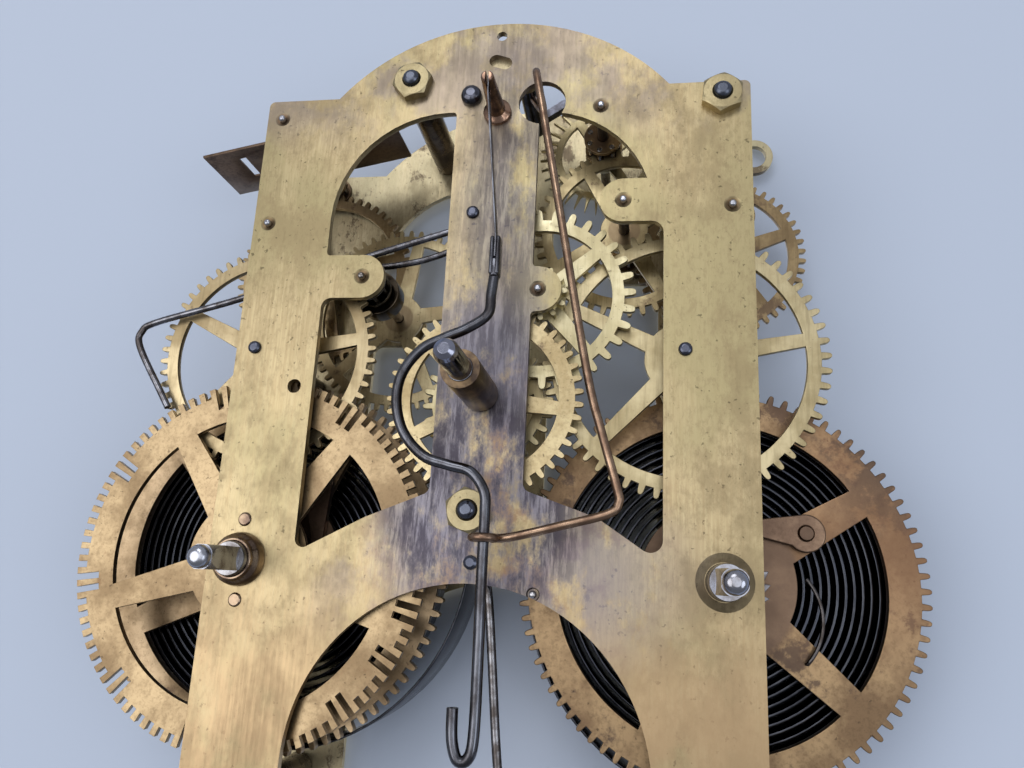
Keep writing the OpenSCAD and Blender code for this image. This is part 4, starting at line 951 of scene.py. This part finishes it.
def block(low, high):
    """A box's corners and faces, between two corners given in millimetres."""
    corners = [Vector((x, y, z)) / 1000 for x in (low[0], high[0]) for y in (low[1], high[1])
               for z in (low[2], high[2])]
    return corners, [(0, 1, 3, 2), (4, 6, 7, 5), (0, 4, 5, 1), (2, 3, 7, 6), (0, 2, 6, 4), (1, 5, 7, 3)]


def join(name, pieces):
    """One object out of several, whose meshes lie where they are to stay."""
    shape = bmesh.new()
    for part in pieces:
        shape.from_mesh(part.data)
        bpy.data.objects.remove(part)
    return add_object(name, mesh_of(name, shape))


def softened(name, corners, faces, edge):
    mesh = bpy.data.meshes.new(name)
    mesh.from_pydata(corners, [], faces)
    piece = add_object(name, mesh)
    rounding = piece.modifiers.new("edge", "BEVEL")
    rounding.width = edge
    rounding.segments = 3
    settle(piece)
    piece.data.set_sharp_from_angle(angle=math.radians(35))
    return piece


rod_pieces = [draw_wire("rod_wire", bend_smoothly(rod_line), 0.00095, rod_finish, 24)]
for name, low_x, high_x, half, low_z, high_z, edge in (("cheek", 2.25, 3.03, 1.5, 19.9, 27.4, 0.00036),
                                                       ("cheek", 3.37, 4.15, 1.5, 19.9, 27.4, 0.00036),
                                                       ("pinch", 2.5, 3.9, 1.3, 19.6, 23.2, 0.0004)):
    solid = block((low_x, rod_level - half, low_z), (high_x, rod_level + half, high_z))
    rod_pieces.append(softened(name, *solid, edge))
put_on(join("rod", rod_pieces), rod_finish, "pendulum_rod")
dressed("suspension_spring", rod_finish, 0.00004, 1)

# Levers: plain steel wires, bent cold and driven into one arbor. One feels the count wheel, the
# other the locking collar.
lever_finish = mottled("lever_finish", 0.22, (0.20, 0.205, 0.235), (0.070, 0.062, 0.062), 300, 1.1)
dressed("lever_arbor", axle_finish, 0.00015, 2, 25)
lever_at = [c * 1000 for c in axis_of("lever_arbor")]
locking_at = [c * 1000 for c in collar_middle]
tip_reach = 36.7
tip_turn = math.radians(126.2)
lever_tip = (strike_axis[0] * 1000 + tip_reach * math.cos(tip_turn),
             strike_axis[1] * 1000 + tip_reach * math.sin(tip_turn))
count_level = front_mm + 3.2
lock_level = front_mm + 11.0
count_line = [(lever_at[0] - 1.1, lever_at[1]), (lever_at[0] - 2.5, lever_at[1] - 1.3),
              (lever_at[0] - 5.7, lever_at[1] - 2.7), (locking_at[0], locking_at[1] + 5.62),
              (locking_at[0] - 26.9, locking_at[1] - 3.38), (lever_tip[0] - 5, lever_tip[1] + 18.5),
              (lever_tip[0] - 8.6, lever_tip[1] + 16.3), (lever_tip[0] - 8.4, lever_tip[1] + 12.7),
              (lever_tip[0] - 2, lever_tip[1] + 3), lever_tip]
lock_line = [(lever_at[0] - 1.1, lever_at[1]), (lever_at[0] - 5.1, lever_at[1] - 2.7),
             (locking_at[0] + 10, locking_at[1] + 8.1), (locking_at[0] + 4, locking_at[1] + 6.9),
             (locking_at[0] + 0.36, locking_at[1] + 6.5)]
for lever, line, level in (("count_lever", count_line, count_level),
                           ("locking_lever", lock_line, lock_level)):
    wire = draw_wire(lever + "_wire", bend_smoothly(at_level(level, *line)), 0.0007, lever_finish)
    put_on(wire, lever_finish, lever)

# Fly: a sheet of dark brass with a small slot, on the last arbor of the strike train. It beats
# the air, which slows the striking.
fly_finish = wheel_brass("fly_finish", (0.17, 0.115, 0.080), (0.095, 0.065, 0.050),
                         (0.045, 0.032, 0.028), 0.5, 9.7)
dressed("fly", fly_finish, 0.0001)

# Hammer: a steel wire on its own arbor, with a brass head. The wire is drawn round over the
# plain one of the frame.
hammer_finish = mottled("hammer_finish", 0.26, (0.20, 0.20, 0.22), (0.075, 0.065, 0.062), 300, 2.3)
paint(hammer_finish, along(hammer_finish, "Z", -0.0698, -0.0704), (0.30, 0.215, 0.115))
paint(hammer_finish, in_front(hammer_finish), (0.075, 0.082, 0.112))
dressed("hammer", hammer_finish, 0.0003, 3, 50)
hammer_level = front_mm + 6.0
hammer_line = at_level(hammer_level, (-0.1, -32), (1.4, -34), (2.6, -38), (5.2, -62), (6.4, -70.6))
hammer_wire = draw_wire("hammer_wire", bend_smoothly(hammer_line), 0.00083, hammer_finish)
put_on(hammer_wire, hammer_finish, "hammer", False)
